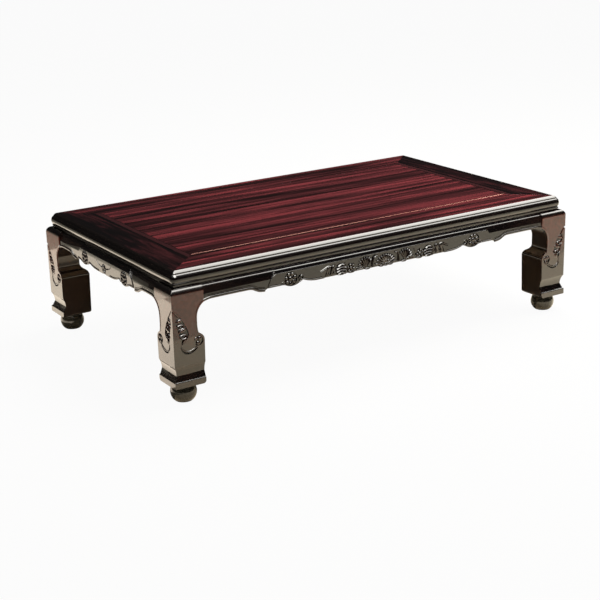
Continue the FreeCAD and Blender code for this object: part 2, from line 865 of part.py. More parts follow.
keep("hanger_bolts", group(bolts))
keep("wing_nuts", group(wing_nuts))
keep("bracket_screws", group(bracket_screws))


# Rails: two across the ends, two beside the heater and two short ones between these
rail_half = half_depth - apron_back + size("rail_housing")
short_rail_middle = heater_rail


def cross_rail(label, middle, beside_heater):
    body = new_body(label)
    plan = new_sketch(body, "XY_Plane", rail_bottom)
    half_width = size("rail_width") / 2
    rectangle(plan, -half_width, half_width, -rail_half, rail_half)
    pad(body, plan, size("rail_height"))
    if beside_heater:
        way = -1 if middle.value > 0 else 1
        inner = half_width * way
        notch = new_sketch(body, "XY_Plane", rail_bottom)
        slot_half = half_width + wood_clearance
        depth_end = inner - (size("rail_housing") + wood_clearance) * way
        for row in (short_rail_middle, -short_rail_middle):
            rectangle(notch, inner + CUT_MARGIN * way, depth_end, row - slot_half, row + slot_half)
        pocket(body, notch, back=True)
        holes = new_sketch(body, "XY_Plane", rail_bottom)
        column = size("thumb_place_x") * (-way) - middle
        for row in (size("thumb_place_y"), -size("thumb_place_y")):
            circle(holes, column, row, size("thumb_radius") + wood_clearance)
        pocket(body, holes, size("thumb_bite") + wood_clearance, back=True)
    return place(body, middle, 0.0, 0.0)


for label, middle in rail_places.items():
    keep(label, cross_rail(label, middle, label.startswith("heater")))
for label, way in (("heater_rail_front", -1), ("heater_rail_back", 1)):
    length = size("heater_opening") + size("rail_housing") * 2
    keep(label, centred_block(length, size("rail_width"), size("rail_height"), 0.0, short_rail_middle * way,
                              rail_bottom))


# Anti-slip pads on the legs and on the ends of the outer rails
pad_spots = [corner_spot(corner, size("pad_inset"), size("pad_inset")) for corner in CORNERS]
for way in (1, -1):
    for side_name in ("front", "back"):
        pad_spots.append(side_spot(side_name, outer_rail * way, size("pad_inset")))
pads = [centred_block(size("pad_width"), size("pad_width"), size("pad_thickness"), x, y, frame_top)
        for x, y in pad_spots]
keep("anti_slip_pads", group(pads))


# Lift-off top: moulded rim rails and the strips below them, both mitred at the corners
rim_bottom = table_height - size("rim_height")
rim_thin_low = table_height - size("rim_thin_height")
ledge_z = table_height - size("panel_edge_height")
thumb_end = size("rim_flat_inset") - size("rim_thumb_run")
bead_top = table_height - size("rim_thumb_drop") - size("rim_quirk")
bead_foot = size("rim_inset") + size("rim_foot_inset")
rim_thick_end = size("rim_inset") + size("rim_thick_width")
panel_edge = size("rim_flat_inset") + size("rim_width")
ledge_edge = panel_edge + size("ledge_width")
strip_edge = size("strip_inset") + size("strip_width")
RIM_OUTLINE = [
    [(size("rim_flat_inset"), table_height)],
    [
        (size("rim_flat_inset") - size("rim_thumb_run") / 2, table_height - ARC_SAG * size("rim_thumb_drop")),
        (thumb_end, table_height - size("rim_thumb_drop")),
    ],
    [(thumb_end, bead_top)],
    [(thumb_end - size("rim_bead_step"), bead_top)],
    [(size("rim_inset"), (bead_top + rim_bottom) / 2), (bead_foot, rim_bottom)],
    [(rim_thick_end, rim_bottom)],
    [(rim_thick_end, rim_thin_low)],
    [(ledge_edge, rim_thin_low)],
    [(ledge_edge, ledge_z)],
    [(panel_edge, ledge_z)],
    [(panel_edge, table_height)],
]
STRIP_OUTLINE = [
    [(size("strip_inset"), top_underside)],
    [(strip_edge, top_underside)],
    [(strip_edge, rim_bottom)],
    [(size("strip_inset"), rim_bottom)],
]


def screw_places(side):
    if side in ("front", "back"):
        return [size("backing_screw_run_long") * step for step in LONG_SCREW_STEPS]
    return [size("backing_screw_run_short") * step for step in SHORT_SCREW_STEPS]


def mitred_rail(label, side, profile, inner_edge, screwed):
    body = new_body(label)
    half = half_length if side in ("front", "back") else half_depth
    section = new_sketch(body, "YZ_Plane")
    outline(section, profile)
    pad(body, section, half * 2, both=True)
    mitres = new_sketch(body, "XY_Plane")
    for way in (1, -1):
        outline(mitres, [
            [((half + CUT_MARGIN) * way, -as_size(CUT_MARGIN))],
            [((half + CUT_MARGIN) * way, inner_edge + CUT_MARGIN)],
            [((half - inner_edge - CUT_MARGIN) * way, inner_edge + CUT_MARGIN)],
        ])
    pocket(body, mitres, both=True)
    if screwed:
        pilots = new_sketch(body, "XY_Plane", rim_thin_low)
        for run in screw_places(side):
            circle(pilots, run, size("backing_screw_inset"), size("backing_screw_radius") + wood_clearance)
        pocket(body, pilots, size("backing_screw_bite") + wood_clearance, back=True)
    return along_side(body, side)


for side_name in SIDES:
    rim_label = f"top_rim_{side_name}"
    keep(rim_label, mitred_rail(rim_label, side_name, RIM_OUTLINE, ledge_edge, True))
    strip_label = f"under_strip_{side_name}"
    keep(strip_label, mitred_rail(strip_label, side_name, STRIP_OUTLINE, strip_edge, False))


# Centre panel: its edge lies on the rim's ledge, and its core stands on the backing board
def centred_sketch(body, inset, level):
    sketch = new_sketch(body, "XY_Plane", level)
    inset = inset + size("panel_clearance")
    rectangle(sketch, inset - half_length, half_length - inset, inset - half_depth, half_depth - inset)
    return sketch


panel = new_body("top_panel")
pad(panel, centred_sketch(panel, panel_edge, ledge_z), size("panel_edge_height") - size("panel_sink"))
core_height = size("rim_thin_height") - size("panel_edge_height")
pad(panel, centred_sketch(panel, ledge_edge, rim_thin_low), core_height)
keep("top_panel", panel)

backing = new_body("backing_board")
backing_low = rim_thin_low - size("backing_thickness")
pad(backing, centred_sketch(backing, rim_thick_end, backing_low), size("backing_thickness"))
backing_holes = new_sketch(backing, "XY_Plane", backing_low)
backing_screws = []
for side_name in SIDES:
    for run in screw_places(side_name):
        x, y = side_spot(side_name, run, size("backing_screw_inset"))
        circle(backing_holes, x, y, size("backing_screw_radius") + wood_clearance)
        bite = size("backing_thickness") + size("backing_screw_bite")
        shank = cylinder(size("backing_screw_radius"), bite, x, y, backing_low)
        head = cylinder(size("screw_head_radius"), size("screw_head_height"), x, y,
                        backing_low - size("screw_head_height"))
        backing_screws.append(fuse([head, shank]))
pocket(backing, backing_holes, back=True)
keep("backing_board", backing)
keep("backing_screws", group(backing_screws))


# Heater case: a sheet steel tray, open below, whose flange is screwed up against the rails
sheet_steel = size("sheet_thickness")
case_low = rail_bottom - sheet_steel
case_roof = case_low + size("case_height") - sheet_steel
case_inside = size("case_width") - sheet_steel * 2
thumb_spots = [(size("thumb_place_x") * a, size("thumb_place_y") * b) for a in (1, -1) for b in (1, -1)]
tray = centred_block(size("case_width"), size("case_width"), size("case_height"), 0.0, 0.0, case_low)
flange = centred_block(size("flange_width"), size("flange_width"), sheet_steel, 0.0, 0.0, case_low)
hollow = centred_block(case_inside, case_inside, size("case_height"), 0.0, 0.0, case_low - sheet_steel)
thumb_holes = [cylinder(size("thumb_radius") + wood_clearance, sheet_steel + 2 * CUT_MARGIN, x, y,
                        case_low - CUT_MARGIN) for x, y in thumb_spots]
keep("heater_case", cut(fuse([tray, flange]), [hollow] + thumb_holes))
thumb_screws = []
for x, y in thumb_spots:
    shank = cylinder(size("thumb_radius"), sheet_steel + size("thumb_bite"), x, y, case_low)
    head = cylinder(size("thumb_head_radius"), size("thumb_head_height"), x, y,
                    case_low - size("thumb_head_height"))
    thumb_screws.append(fuse([head, shank]))
keep("heater_thumb_screws", group(thumb_screws))


# Reflector: a bent aluminium trough on the roof of the case, above the tubes
tube_row = size("tube_row")
reflector = new_body("heater_reflector")
trough = new_sketch(reflector, "YZ_Plane")
foil = size("reflector_thickness")
flat_half = size("reflector_width") / 2
lip_end = flat_half + size("reflector_lip")
lip_low = case_roof - size("reflector_drop")
outline(trough, [
    [(tube_row - lip_end, lip_low)],
    [(tube_row - lip_end, lip_low - foil)],
    [(tube_row - flat_half, case_roof - foil)],
    [(tube_row + flat_half, case_roof - foil)],
    [(tube_row + lip_end, lip_low - foil)],
    [(tube_row + lip_end, lip_low)],
    [(tube_row + flat_half, case_roof)],
    [(tube_row - flat_half, case_roof)],
])
pad(reflector, trough, size("reflector_length"), both=True)
keep("heater_reflector", reflector)


# Quartz tubes with their elements, held at both ends by ceramic blocks under the reflector
tube_z = case_roof - size("tube_drop")
tube_rows = [tube_row - size("tube_spacing") / 2, tube_row + size("tube_spacing") / 2]
tube_half = size("tube_length") / 2
holder_low = tube_z - size("tube_radius") - size("holder_cap")
holder_height = case_roof - foil - holder_low
holder_column = tube_half - size("holder_bite") + size("holder_length") / 2
tubes, elements, holders = [], [], []
for row in tube_rows:
    glass = cylinder(size("tube_radius"), size("tube_length"), -tube_half, row, tube_z, ALONG_X)
    bore = cylinder(size("tube_radius") - size("tube_wall"), size("tube_length") + 2 * CUT_MARGIN,
                    -tube_half - CUT_MARGIN, row, tube_z, ALONG_X)
    tubes.append(cut(glass, [bore]))
    elements.append(cylinder(size("element_radius"), size("tube_length"), -tube_half, row, tube_z, ALONG_X))
    for way in (1, -1):
        stone = centred_block(size("holder_length"), size("holder_width"), holder_height,
                              holder_column * way, row, holder_low)
        seat = cylinder(size("tube_radius") + wood_clearance, size("tube_length"), -tube_half, row, tube_z,
                        ALONG_X)
        holders.append(cut(stone, [seat]))
keep("heater_tubes", group(tubes))
keep("heater_elements", group(elements))
keep("tube_holders", group(holders))


# Guard: a shallow frame with wire bars under the heater
guard = new_body("heater_guard")
guard_low = case_low - size("guard_height")
frame_plan = new_sketch(guard, "XY_Plane", guard_low)
guard_half = size("guard_width") / 2
guard_inner = guard_half - size("guard_wall")
rectangle(frame_plan, -guard_half, guard_half, -guard_half, guard_half)
rectangle(frame_plan, -guard_inner, guard_inner, -guard_inner, guard_inner)
pad(guard, frame_plan, size("guard_height"))
stay = new_sketch(guard, "XZ_Plane")
stay_level = guard_low + size("bar_radius") * (3.0 - WELD_SINK)
for column in (-size("stay_place"), as_size(0.0), size("stay_place")):
    circle(stay, column, stay_level, size("bar_radius"))
pad(guard, stay, guard_inner * 2 + size("guard_wall"), both=True)
bar = new_sketch(guard, "YZ_Plane")
bar_span = size("bar_pitch") * (size("bar_count") - 1)
circle(bar, -bar_span / 2, guard_low + size("bar_radius"), size("bar_radius"))
first_bar = pad(guard, bar, guard_inner * 2 + size("guard_wall"), both=True)
doc.recompute()
bars = guard.newObject("PartDesign::LinearPattern", "Bars")
bars.Originals = [first_bar]
bars.Direction = (bar, ["H_Axis"])
bind(bars, "Length", bar_span)
bind(bars, "Occurrences", size("bar_count"))
guard.Tip = bars
keep("heater_guard", guard)


# Fan motor on the roof of the case, and the fan on its shaft
fan_row = size("fan_row")
motor_low = case_roof - size("motor_height")
shaft_bore = size("shaft_radius") + size("shaft_clearance")
keep("fan_motor", ring(size("motor_radius"), shaft_bore, size("motor_height"), 0.0, fan_row, motor_low))
fan = new_body("fan")
hub_top = motor_low - size("fan_gap")
hub_low = hub_top - size("fan_hub_height")
hub_plan = new_sketch(fan, "XY_Plane", hub_low)
circle(hub_plan, 0.0, 0.0, size("fan_hub_radius"))
pad(fan, hub_plan, size("fan_hub_height"))
shaft_plan = new_sketch(fan, "XY_Plane", hub_low)
circle(shaft_plan, 0.0, 0.0, size("shaft_radius"))
pad(fan, shaft_plan, case_roof - sheet_steel - hub_low)
blade_section = new_sketch(fan, "YZ_Plane", size("fan_hub_radius") / 2)
blade_half = size("blade_run") / 2
blade_low = hub_low + (size("fan_hub_height") - size("blade_rise") - size("blade_thickness")) / 2
outline(blade_section, [
    [(-blade_half, blade_low)],
    [(blade_half, blade_low + size("blade_rise"))],
    [(blade_half, blade_low + size("blade_rise") + size("blade_thickness"))],
    [(-blade_half, blade_low + size("blade_thickness"))],
])
first_blade = pad(fan, blade_section, size("fan_radius") - size("fan_hub_radius") / 2)
doc.recompute()
blades = fan.newObject("PartDesign::PolarPattern", "Blades")
blades.Originals = [first_blade]
blades.Axis = (hub_plan, ["N_Axis"])
blades.Angle = 360.0
bind(blades, "Occurrences", size("blade_count"))
fan.Tip = blades
keep("fan", place(fan, 0.0, fan_row, 0.0))


# Thermostat, thermal fuse and terminal block under the roof of the case
control_column = size("control_column")
keep("thermostat", cylinder(size("thermostat_radius"), size("thermostat_height"), control_column,
                            size("thermostat_row"), case_roof - size("thermostat_height")))
keep("thermal_fuse", cylinder(size("fuse_radius"), size("fuse_length"), control_column, size("fuse_row"),
                              case_roof - size("fuse_radius") - wood_clearance, ALONG_Y))
terminal_column = -size("terminal_column")
keep("terminal_block", centred_block(size("terminal_length"), size("terminal_width"), size("terminal_height"),
                                     terminal_column, fan_row, case_roof - size("terminal_height")))


# Power inlet under the flange, with two pins in a socket that faces the back
inlet_start = guard_half + wood_clearance
inlet_low = case_low - size("inlet_height")
inlet_body = block(size("inlet_width"), size("inlet_length"), size("inlet_height"),
                   terminal_column - size("inlet_width") / 2, inlet_start, inlet_low)
socket_width = size("inlet_width") - size("inlet_wall") * 2
socket_height = size("inlet_height") - size("inlet_wall") * 2
socket_floor = inlet_start + size("inlet_length") - size("inlet_depth")
socket = block(socket_width, size("inlet_depth") + CUT_MARGIN, socket_height,
               terminal_column - socket_width / 2, socket_floor, inlet_low + size("inlet_wall"))
pin_level = inlet_low + size("inlet_height") / 2
pin_root = socket_floor - size("inlet_wall")
pin_offset = size("inlet_pin_spacing") / 2
pins = [cylinder(size("inlet_pin_radius"), size("inlet_depth"), terminal_column + pin_offset * way,
                 pin_root, pin_level, ALONG_Y) for way in (-1, 1)]
keep("power_inlet", fuse([cut(inlet_body, [socket])] + pins))


# Wiring inside the case, from the terminal block to the tubes, the motor and the inlet's wall
wire = size("wire_radius")
wire_level = case_roof - size("terminal_height") + size("wire_rise")
terminal_front = fan_row - size("terminal_width") / 2
terminal_back = fan_row + size("terminal_width") / 2
terminal_side = terminal_column + size("terminal_length") / 2
holder_half = size("holder_width") / 2
near_row, far_row = tube_rows[1] + holder_half, tube_rows[1] - holder_half
link_start = tube_rows[0] + holder_half
wires = [
    cylinder(wire, terminal_front - near_row, -holder_column, near_row, wire_level, ALONG_Y),
    cylinder(wire, far_row - link_start, holder_column, link_start, wire_level, ALONG_Y),
    cylinder(wire, -size("motor_radius") - terminal_side, terminal_side, fan_row, wire_level, ALONG_X),
    cylinder(wire, case_inside / 2 - terminal_back, terminal_column, terminal_back, wire_level, ALONG_Y),
]
keep("heater_wiring", group(wires))


# Every feature has to be sound, and every cut has to have taken something away
doc.recompute()
faults = [item.Label for item in doc.Objects if {"Invalid", "Error"} & set(item.State)]
for item in doc.Objects:
    if item.TypeId == "PartDesign::Pocket" and item.Shape.Volume >= item.BaseFeature.Shape.Volume:
        faults.append(f"{item.Label} cuts nothing")
for label, item in sub_parts.items():
    if item.Shape.isNull() or not item.Shape.isValid() or not item.Shape.Solids:
        faults.append(f"{label} has no sound shape")
if faults:
    raise RuntimeError("faulty features: " + ", ".join(faults))

os.makedirs("parts", exist_ok=True)
for label, item in sub_parts.items():
    item.Shape.exportStep(f"parts/{label}.step")
print(len(sub_parts), "pieces written")
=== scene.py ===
import cmath
import bpy
from math import atan2, copysign, cos, degrees, exp, hypot, pi, radians, sin, sqrt, tau
from mathutils import Matrix, Vector


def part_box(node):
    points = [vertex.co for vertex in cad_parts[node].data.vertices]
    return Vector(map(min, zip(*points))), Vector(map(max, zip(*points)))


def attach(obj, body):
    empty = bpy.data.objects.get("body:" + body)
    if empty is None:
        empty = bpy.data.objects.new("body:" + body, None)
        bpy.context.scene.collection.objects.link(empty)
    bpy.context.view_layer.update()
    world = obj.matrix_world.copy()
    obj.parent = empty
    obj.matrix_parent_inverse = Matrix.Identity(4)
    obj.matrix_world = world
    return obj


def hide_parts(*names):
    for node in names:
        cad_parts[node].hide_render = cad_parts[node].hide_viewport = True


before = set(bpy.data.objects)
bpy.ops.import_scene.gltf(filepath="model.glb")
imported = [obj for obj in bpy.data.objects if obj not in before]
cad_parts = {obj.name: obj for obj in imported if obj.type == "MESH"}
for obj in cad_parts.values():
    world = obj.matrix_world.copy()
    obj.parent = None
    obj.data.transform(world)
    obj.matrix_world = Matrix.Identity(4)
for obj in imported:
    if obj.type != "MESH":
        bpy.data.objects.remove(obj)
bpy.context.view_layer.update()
bpy.ops.object.select_all(action="DESELECT")


# Legs: four posts of dark hardwood, each sawn to one outline from two sides, with eased arrises.
# They are stained near black, redder towards the top of the outer faces, and finished in clear gloss
# lacquer. The grain runs up the leg.
MM = 0.001
CORNERS = ("front_left", "front_right", "back_right", "back_left")
SIDES = ("front", "right", "back", "left")
LONG_SIDES = ("front", "back")
HALF_LENGTH, HALF_DEPTH = 750, 450
NECK_LEVELS = (93 * MM, 123 * MM)
SMOOTH_ANGLE = radians(34)
BLACK, WHITE = (0, 0, 0), (1, 1, 1)
MATERIALS = {}


def deselect():
    bpy.ops.object.select_all(action="DESELECT")


def object_mode():
    bpy.ops.object.mode_set(mode="OBJECT")


def activate(piece):
    """Makes one piece the only selected one."""
    deselect()
    piece.select_set(True)
    bpy.context.view_layer.objects.active = piece


def add_object(name, data):
    piece = bpy.data.objects.new(name, data)
    bpy.context.scene.collection.objects.link(piece)
    return piece


def edit_all():
    """Opens the active piece's mesh with everything selected."""
    bpy.ops.object.mode_set(mode="EDIT")
    bpy.ops.mesh.select_all(action="SELECT")


def apply_modifier(piece, kind, **settings):
    modifier = piece.modifiers.new(kind, kind)
    for setting, value in settings.items():
        setattr(modifier, setting, value)
    activate(piece)
    bpy.ops.object.modifier_apply(modifier=modifier.name)


def copy_of_node(node, name):
    """A piece with a CAD node's shape, its loose triangles joined into whole faces."""
    piece = add_object(name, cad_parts[node].data.copy())
    piece.data.materials.clear()
    activate(piece)
    bpy.ops.mesh.customdata_custom_splitnormals_clear()
    edit_all()
    bpy.ops.mesh.remove_doubles(threshold=0.02 * MM)
    bpy.ops.mesh.dissolve_limited(angle_limit=radians(0.5))
    object_mode()
    return piece


def smooth(piece):
    """Smooths the shading over shallow edges, with flat faces left flat."""
    activate(piece)
    bpy.ops.object.shade_smooth_by_angle(angle=SMOOTH_ANGLE)
    apply_modifier(piece, "WEIGHTED_NORMAL", keep_sharp=True)


def ease_edges(piece, width, segments=2):
    """Rounds the sharp edges a little."""
    apply_modifier(piece, "BEVEL", width=width * MM, segments=segments, limit_method="ANGLE",
                   angle_limit=radians(38), use_clamp_overlap=True)
    smooth(piece)


def finish_piece(piece, body, slot, node=None, material=None):
    """Gives a piece its body and a material, by default its slot's own, and hides the CAD node it stands
    for.
    """
    piece.data.materials.append(material or MATERIALS[slot])
    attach(piece, body)
    if node:
        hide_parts(node)


def add_node(tree, kind, inputs=None, **settings):
    """Adds a shader node. An input is a plain value, a colour, or another node's output to link."""
    node = tree.nodes.new("ShaderNode" + kind)
    for setting, value in settings.items():
        setattr(node, setting, value)
    for label, value in (inputs or {}).items():
        socket = node.inputs[label]
        if isinstance(value, bpy.types.NodeSocket):
            tree.links.new(value, socket)
        else:
            socket.default_value = (*value, 1) if socket.type == "RGBA" else value
    return node


def noise(tree, place, scale, detail, **inputs):
    return add_node(tree, "TexNoise", {
        "Vector": place, "Scale": scale, "Detail": detail, **inputs}).outputs["Fac"]


def maths(tree, operation, *values):
    return add_node(tree, "Math", dict(enumerate(values)), operation=operation).outputs["Value"]


def value_range(tree, value, low, high, new_low=0, new_high=1):
    return add_node(tree, "MapRange", {
        "Value": value, "From Min": low, "From Max": high, "To Min": new_low, "To Max": new_high,
    }).outputs["Result"]


def colour_ramp(tree, factor, stops):
    ramp = add_node(tree, "ValToRGB", {"Fac": factor})
    while len(ramp.color_ramp.elements) < len(stops):
        ramp.color_ramp.elements.new(0.5)
    for element, (position, colour) in zip(ramp.color_ramp.elements, stops):
        element.position = position
        element.color = (*colour, 1)
    return ramp.outputs["Color"]


def mix_colour(tree, factor, first, second, blend="MIX"):
    return add_node(tree, "Mix", {0: factor, 6: first, 7: second},
                    data_type="RGBA", blend_type=blend).outputs[2]


def wood_figure(group, place, waviness):
    """Streaks, fine lines and pores of wood, one streak to a unit across the grain."""
    return {"Streaks": noise(group, place, 1, 4, Roughness=0.62, Distortion=waviness),
            "Lines": noise(group, place, 6.5, 2),
            "Pores": value_range(group, noise(group, place, 23, 1), 0.56, 0.72)}


def surface_wave(group, place, scale):
    """The fine orange peel and the slow patches of a sprayed or moulded surface."""
    slow = maths(group, "MULTIPLY", scale, 0.2)
    return {"Height": noise(group, place, scale, 2), "Patches": noise(group, place, slow, 3)}


def edge_rub_and_hollow_shade(group, place, scale):
    """Masks of the edges that hands and cloths rub bright, broken up by noise, and of the hollows, where
    shade is painted in darker.
    """
    point = add_node(group, "NewGeometry").outputs["Pointiness"]
    edges = value_range(group, point, 0.505, 0.56)
    return {"Edges": maths(group, "MULTIPLY", edges, noise(group, place, scale, 3)),
            "Painted_hollow_shade": value_range(group, point, 0.495, 0.44)}


def new_group(name, setting, value, build):
    """A node group that takes a place and one number, and puts out what build makes of them."""
    group = bpy.data.node_groups.new(name, "ShaderNodeTree")
    sockets = group.interface
    sockets.new_socket("Vector", in_out="INPUT", socket_type="NodeSocketVector")
    sockets.new_socket(setting, in_out="INPUT", socket_type="NodeSocketFloat").default_value = value
    entry = group.nodes.new("NodeGroupInput").outputs
    results = build(group, entry["Vector"], entry[setting])
    for label in results:
        sockets.new_socket(label, in_out="OUTPUT", socket_type="NodeSocketFloat")
    exit_node = group.nodes.new("NodeGroupOutput")
    for label, output in results.items():
        group.links.new(output, exit_node.inputs[label])
    return group


WOOD_FIGURE = new_group("wood_figure", "Waviness", 0.5, wood_figure)
SURFACE_WAVE = new_group("surface_wave", "Scale", 60, surface_wave)
EDGE_RUB_AND_HOLLOW_SHADE = new_group("edge_rub_and_hollow_shade", "Scale", 40, edge_rub_and_hollow_shade)


def new_material(name):
    material = bpy.data.materials.new(name)
    material.use_nodes = True
    MATERIALS[name] = material
    tree = material.node_tree
    return material, tree, add_node(tree, "TexCoord").outputs["Object"]


def stretched(tree, place, scale):
    return add_node(tree, "Mapping", {"Vector": place, "Scale": scale}).outputs["Vector"]


def place_group(tree, group, place, value):
    """Puts a node group in a material, with the value of its second input, and gives its outputs."""
    return add_node(tree, "Group", {0: place, 1: value}, node_tree=group).outputs


def set_numbers(material, **numbers):
    for label, number in numbers.items():
        surface = material.node_tree.nodes["Principled BSDF"]
        surface.inputs[label.replace("_", " ")].default_value = number


def finish_surface(material, base, rough, height, relief, depth, **numbers):
    """Links a material's colour, gloss and fine relief, and sets its plain numbers."""
    tree = material.node_tree
    bump = add_node(tree, "Bump", {"Height": height, "Strength": relief, "Distance": depth})
    for label, output in (("Base Color", base), ("Roughness", rough), ("Normal", bump.outputs["Normal"])):
        tree.links.new(output, tree.nodes["Principled BSDF"].inputs[label])
    set_numbers(material, **numbers)
    return material


def red_share(tree, place, share):
    """How far the stain turns red: most near the top of the table's outer faces, below their rounding."""
    axes = add_node(tree, "SeparateXYZ", {"Vector": place}).outputs
    level = colour_ramp(tree, value_range(tree, axes["Z"], 0, 400 * MM), [
        (0.4, BLACK), (0.76, WHITE), (0.835, WHITE), (0.85, BLACK)])
    outer = 0
    for axis, half in (("X", HALF_LENGTH), ("Y", HALF_DEPTH)):
        out = maths(tree, "ABSOLUTE", axes[axis])
        near = value_range(tree, out, (half - 7) * MM, (half - 4) * MM, 0, share)
        outer = maths(tree, "MAXIMUM", near, outer)
    return maths(tree, "MULTIPLY", level, outer)


def lacquered_wood(name, grain, red=0):
    """Near black stained wood under clear gloss lacquer. Grain gives the figure's scale on each axis,
    and red the share of warm stain towards the top."""
    material, tree, place = new_material(name)
    figure = place_group(tree, WOOD_FIGURE, stretched(tree, place, grain), 0.3)
    wave = place_group(tree, SURFACE_WAVE, place, 55)
    rub_and_shade = place_group(tree, EDGE_RUB_AND_HOLLOW_SHADE, place, 90)
    base = colour_ramp(tree, figure["Streaks"], [
        (0.3, (0.002, 0.001, 0.001)), (0.5, (0.005, 0.003, 0.003)), (0.72, (0.018, 0.008, 0.006))])
    lines = value_range(tree, figure["Lines"], 0.35, 0.75, 0, 0.55)
    base = mix_colour(tree, lines, base, (0.006, 0.003, 0.003))
    if red:
        base = mix_colour(tree, red_share(tree, place, red), base, (0.26, 0.052, 0.03))
    base = mix_colour(tree, rub_and_shade["Edges"], base, (0.034, 0.016, 0.011))
    # Painted shade: the hollows are darkened towards black.
    base = mix_colour(tree, rub_and_shade["Painted_hollow_shade"], base, (0.003, 0.002, 0.002))
    rough = value_range(tree, wave["Patches"], 0.3, 0.7, 0.24, 0.34)
    return finish_surface(material, base, rough, wave["Height"], 0.04, 0.6 * MM, IOR=1.5,
                          Specular_IOR_Level=0.1, Coat_Weight=1, Coat_Roughness=0.035, Coat_IOR=1.8)


LEG_LACQUER = lacquered_wood("leg_lacquer", (75, 75, 3.2), 0.8)
legs = {}
for corner in CORNERS:
    leg = copy_of_node(f"leg_{corner}", f"post_{corner}")
    for edge in leg.data.edges:
        ends = [leg.data.vertices[index].co.z for index in edge.vertices]
        edge.use_edge_sharp = any(max(abs(z - level) for z in ends) < 0.2 * MM for level in NECK_LEVELS)
    ease_edges(leg, 1.5, 3)
    finish_piece(leg, "frame", "lacquered_wood", f"leg_{corner}", LEG_LACQUER)
    legs[corner] = leg


# Aprons: four boards doweled between the legs, with a rounded upper edge, a raised plaque and a
# shaped lower edge. Same stain and lacquer as the legs, with the grain along each board.
def fit_piece(node, name, slot, ease, segments=2, material=None, body="frame"):
    """A CAD node's shape with its edges broken and its own material."""
    piece = copy_of_node(node, name)
    ease_edges(piece, ease, segments)
    finish_piece(piece, body, slot, node, material)
    return piece


LONG_LACQUER = lacquered_wood("long_apron_lacquer", (3.2, 75, 75))
SHORT_LACQUER = lacquered_wood("short_apron_lacquer", (75, 3.2, 75))
APRON_LACQUER = {side: LONG_LACQUER if side in LONG_SIDES else SHORT_LACQUER for side in SIDES}
boards = {side: fit_piece(f"apron_{side}", f"board_{side}", "lacquered_wood", 1, 3, APRON_LACQUER[side])
          for side in SIDES}


# Carving on the aprons: rosettes, leaf fans, a half flower in the middle and tendrils, in low relief on
# sunk grounds, with a hollow planed under the rounded upper edge and beads along the lower edges.
# It is cut in the boards' own wood.
PLAQUE_FACE, APRON_FACE = 3.5, 5.5
RELIEF, RELIEF_SINK = 3.3, 0.35
GROUND, SEAT = 4.6, 0.3
CARVING_ANGLE = radians(60)
EDGE_BEAD, FINE_GROOVE = (4.2, 4.2, 2.9, 4.2), (1, 1, 1, 1.4)
END_GROOVE_LIFTS, PLAQUE_GROOVE_LIFT = (5.8, 9.4), 3.2
# Cusp of the lower edge, middle of the flower's bow, joint with the leg, end of the plaque, end hollow.
LONG_PLACES = (440, 340, 644, 428, 260)
SHORT_PLACES = (212, 140, 344, 200, 190)
PLAQUE_FOOT, PLAQUE_RISE, PLAQUE_LEAN, PLAQUE_BOW = 299, 39, 28, 1.9
SPRIG_GROUND = [(-9, 285), (-11, 300), (-15, 312), (-10, 323), (0, 327.5), (10, 323), (15, 312),
                (11, 300), (9, 285)]
SPRIG_TENDRIL = [(13, 314), (22, 313), (31, 317), (39, 318), (47, 323), (52, 329)]
BAND_GROUND = [(231, 285), (230, 296), (218, 324), (213, 329.5), (207, 330.5), (203, 325), (200, 331),
               (192, 332), (187, 324), (178, 330), (166.5, 332), (155, 330), (148, 322), (140, 324.5),
               (132, 326), (121, 322), (116, 313), (111, 326), (100, 332), (86, 335.5), (70, 336.5),
               (55, 336.5), (44, 335.5), (33, 335), (27, 325.5), (19, 329.5), (9, 332)]
LEAF_HOOK = [(245, 318), (235, 321), (224, 326), (215, 329.5), (208, 326)]


def oval(x, y, width, height, angles):
    """Points of an oval round a middle, one for each angle in degrees."""
    return [(x + width * cos(radians(a)), y + height * sin(radians(a))) for a in angles]


def disc(x, y, radius, count=28):
    return oval(x, y, radius, radius, [360 * index / count for index in range(count)])


SHOULDER_ARC = oval(22.03, 338.24, -11, 11, range(20, 91, 10)) + [(22.03, 357)]
END_HOLLOW = [(0, 357), (0, 324.45), (5.3, 324.45)] + SHOULDER_ARC
MIDDLE_HOLLOW = [(5.6, 357), (5.6, 337.85), (10.18, 337.85)] + SHOULDER_ARC


def plain_chip(along, across, rise, tip, groove):
    """A stroke whose far end is narrowed by tip and whose back is hollowed by groove."""
    across *= 1 + tip * (0.5 - (along + 1) / 2)
    if rise > 0:
        rise *= 1 - groove * exp(-((across / 0.3) ** 2))
    return across, rise


def curled_chip(along, across, rise, root, turn):
    """A leaf that rises from its root and rolls over from the share of its length given as turn."""
    ring = max(sqrt(max(1 - along**2, 0)), 0.001)
    share = (along + 1) / 2
    climb = (root + (1 - root) * min(share / turn, 1)) * min(share / 0.06, 1)
    if share > turn:
        climb *= sqrt(max(1 - ((share - turn) / (1 - turn)) ** 2, 0))
    return across / ring * climb, rise * (climb / ring)


def gouge_mark(name, form, first, second, segments=14, rings=9):
    """The mesh of one stroke of the gouge, from 0 to 1 along X, formed out of a ball."""
    bpy.ops.mesh.primitive_uv_sphere_add(segments=segments, ring_count=rings, radius=1)
    ball = bpy.context.object
    mesh = ball.data
    for vertex in mesh.vertices:
        along = vertex.co.z
        across, rise = form(along, vertex.co.y, -vertex.co.x, first, second)
        vertex.co = ((along + 1) / 2, across / 2, rise if rise > 0 else rise * RELIEF_SINK)
    mesh.name = name
    bpy.data.objects.remove(ball)
    return mesh


CHIPS = {
    "petal": gouge_mark("round_petal", plain_chip, -0.7, 0.45),
    "leaf": gouge_mark("pointed_leaf", plain_chip, 1.3, 0.5),
    "curl": gouge_mark("curled_leaf", curled_chip, 0.4, 0.74, 12, 11),
    "blunt": gouge_mark("blunt_curl", curled_chip, 0.55, 0.55, 12, 11),
    "dome": gouge_mark("dome", plain_chip, 0, 0, 20, 10),
}


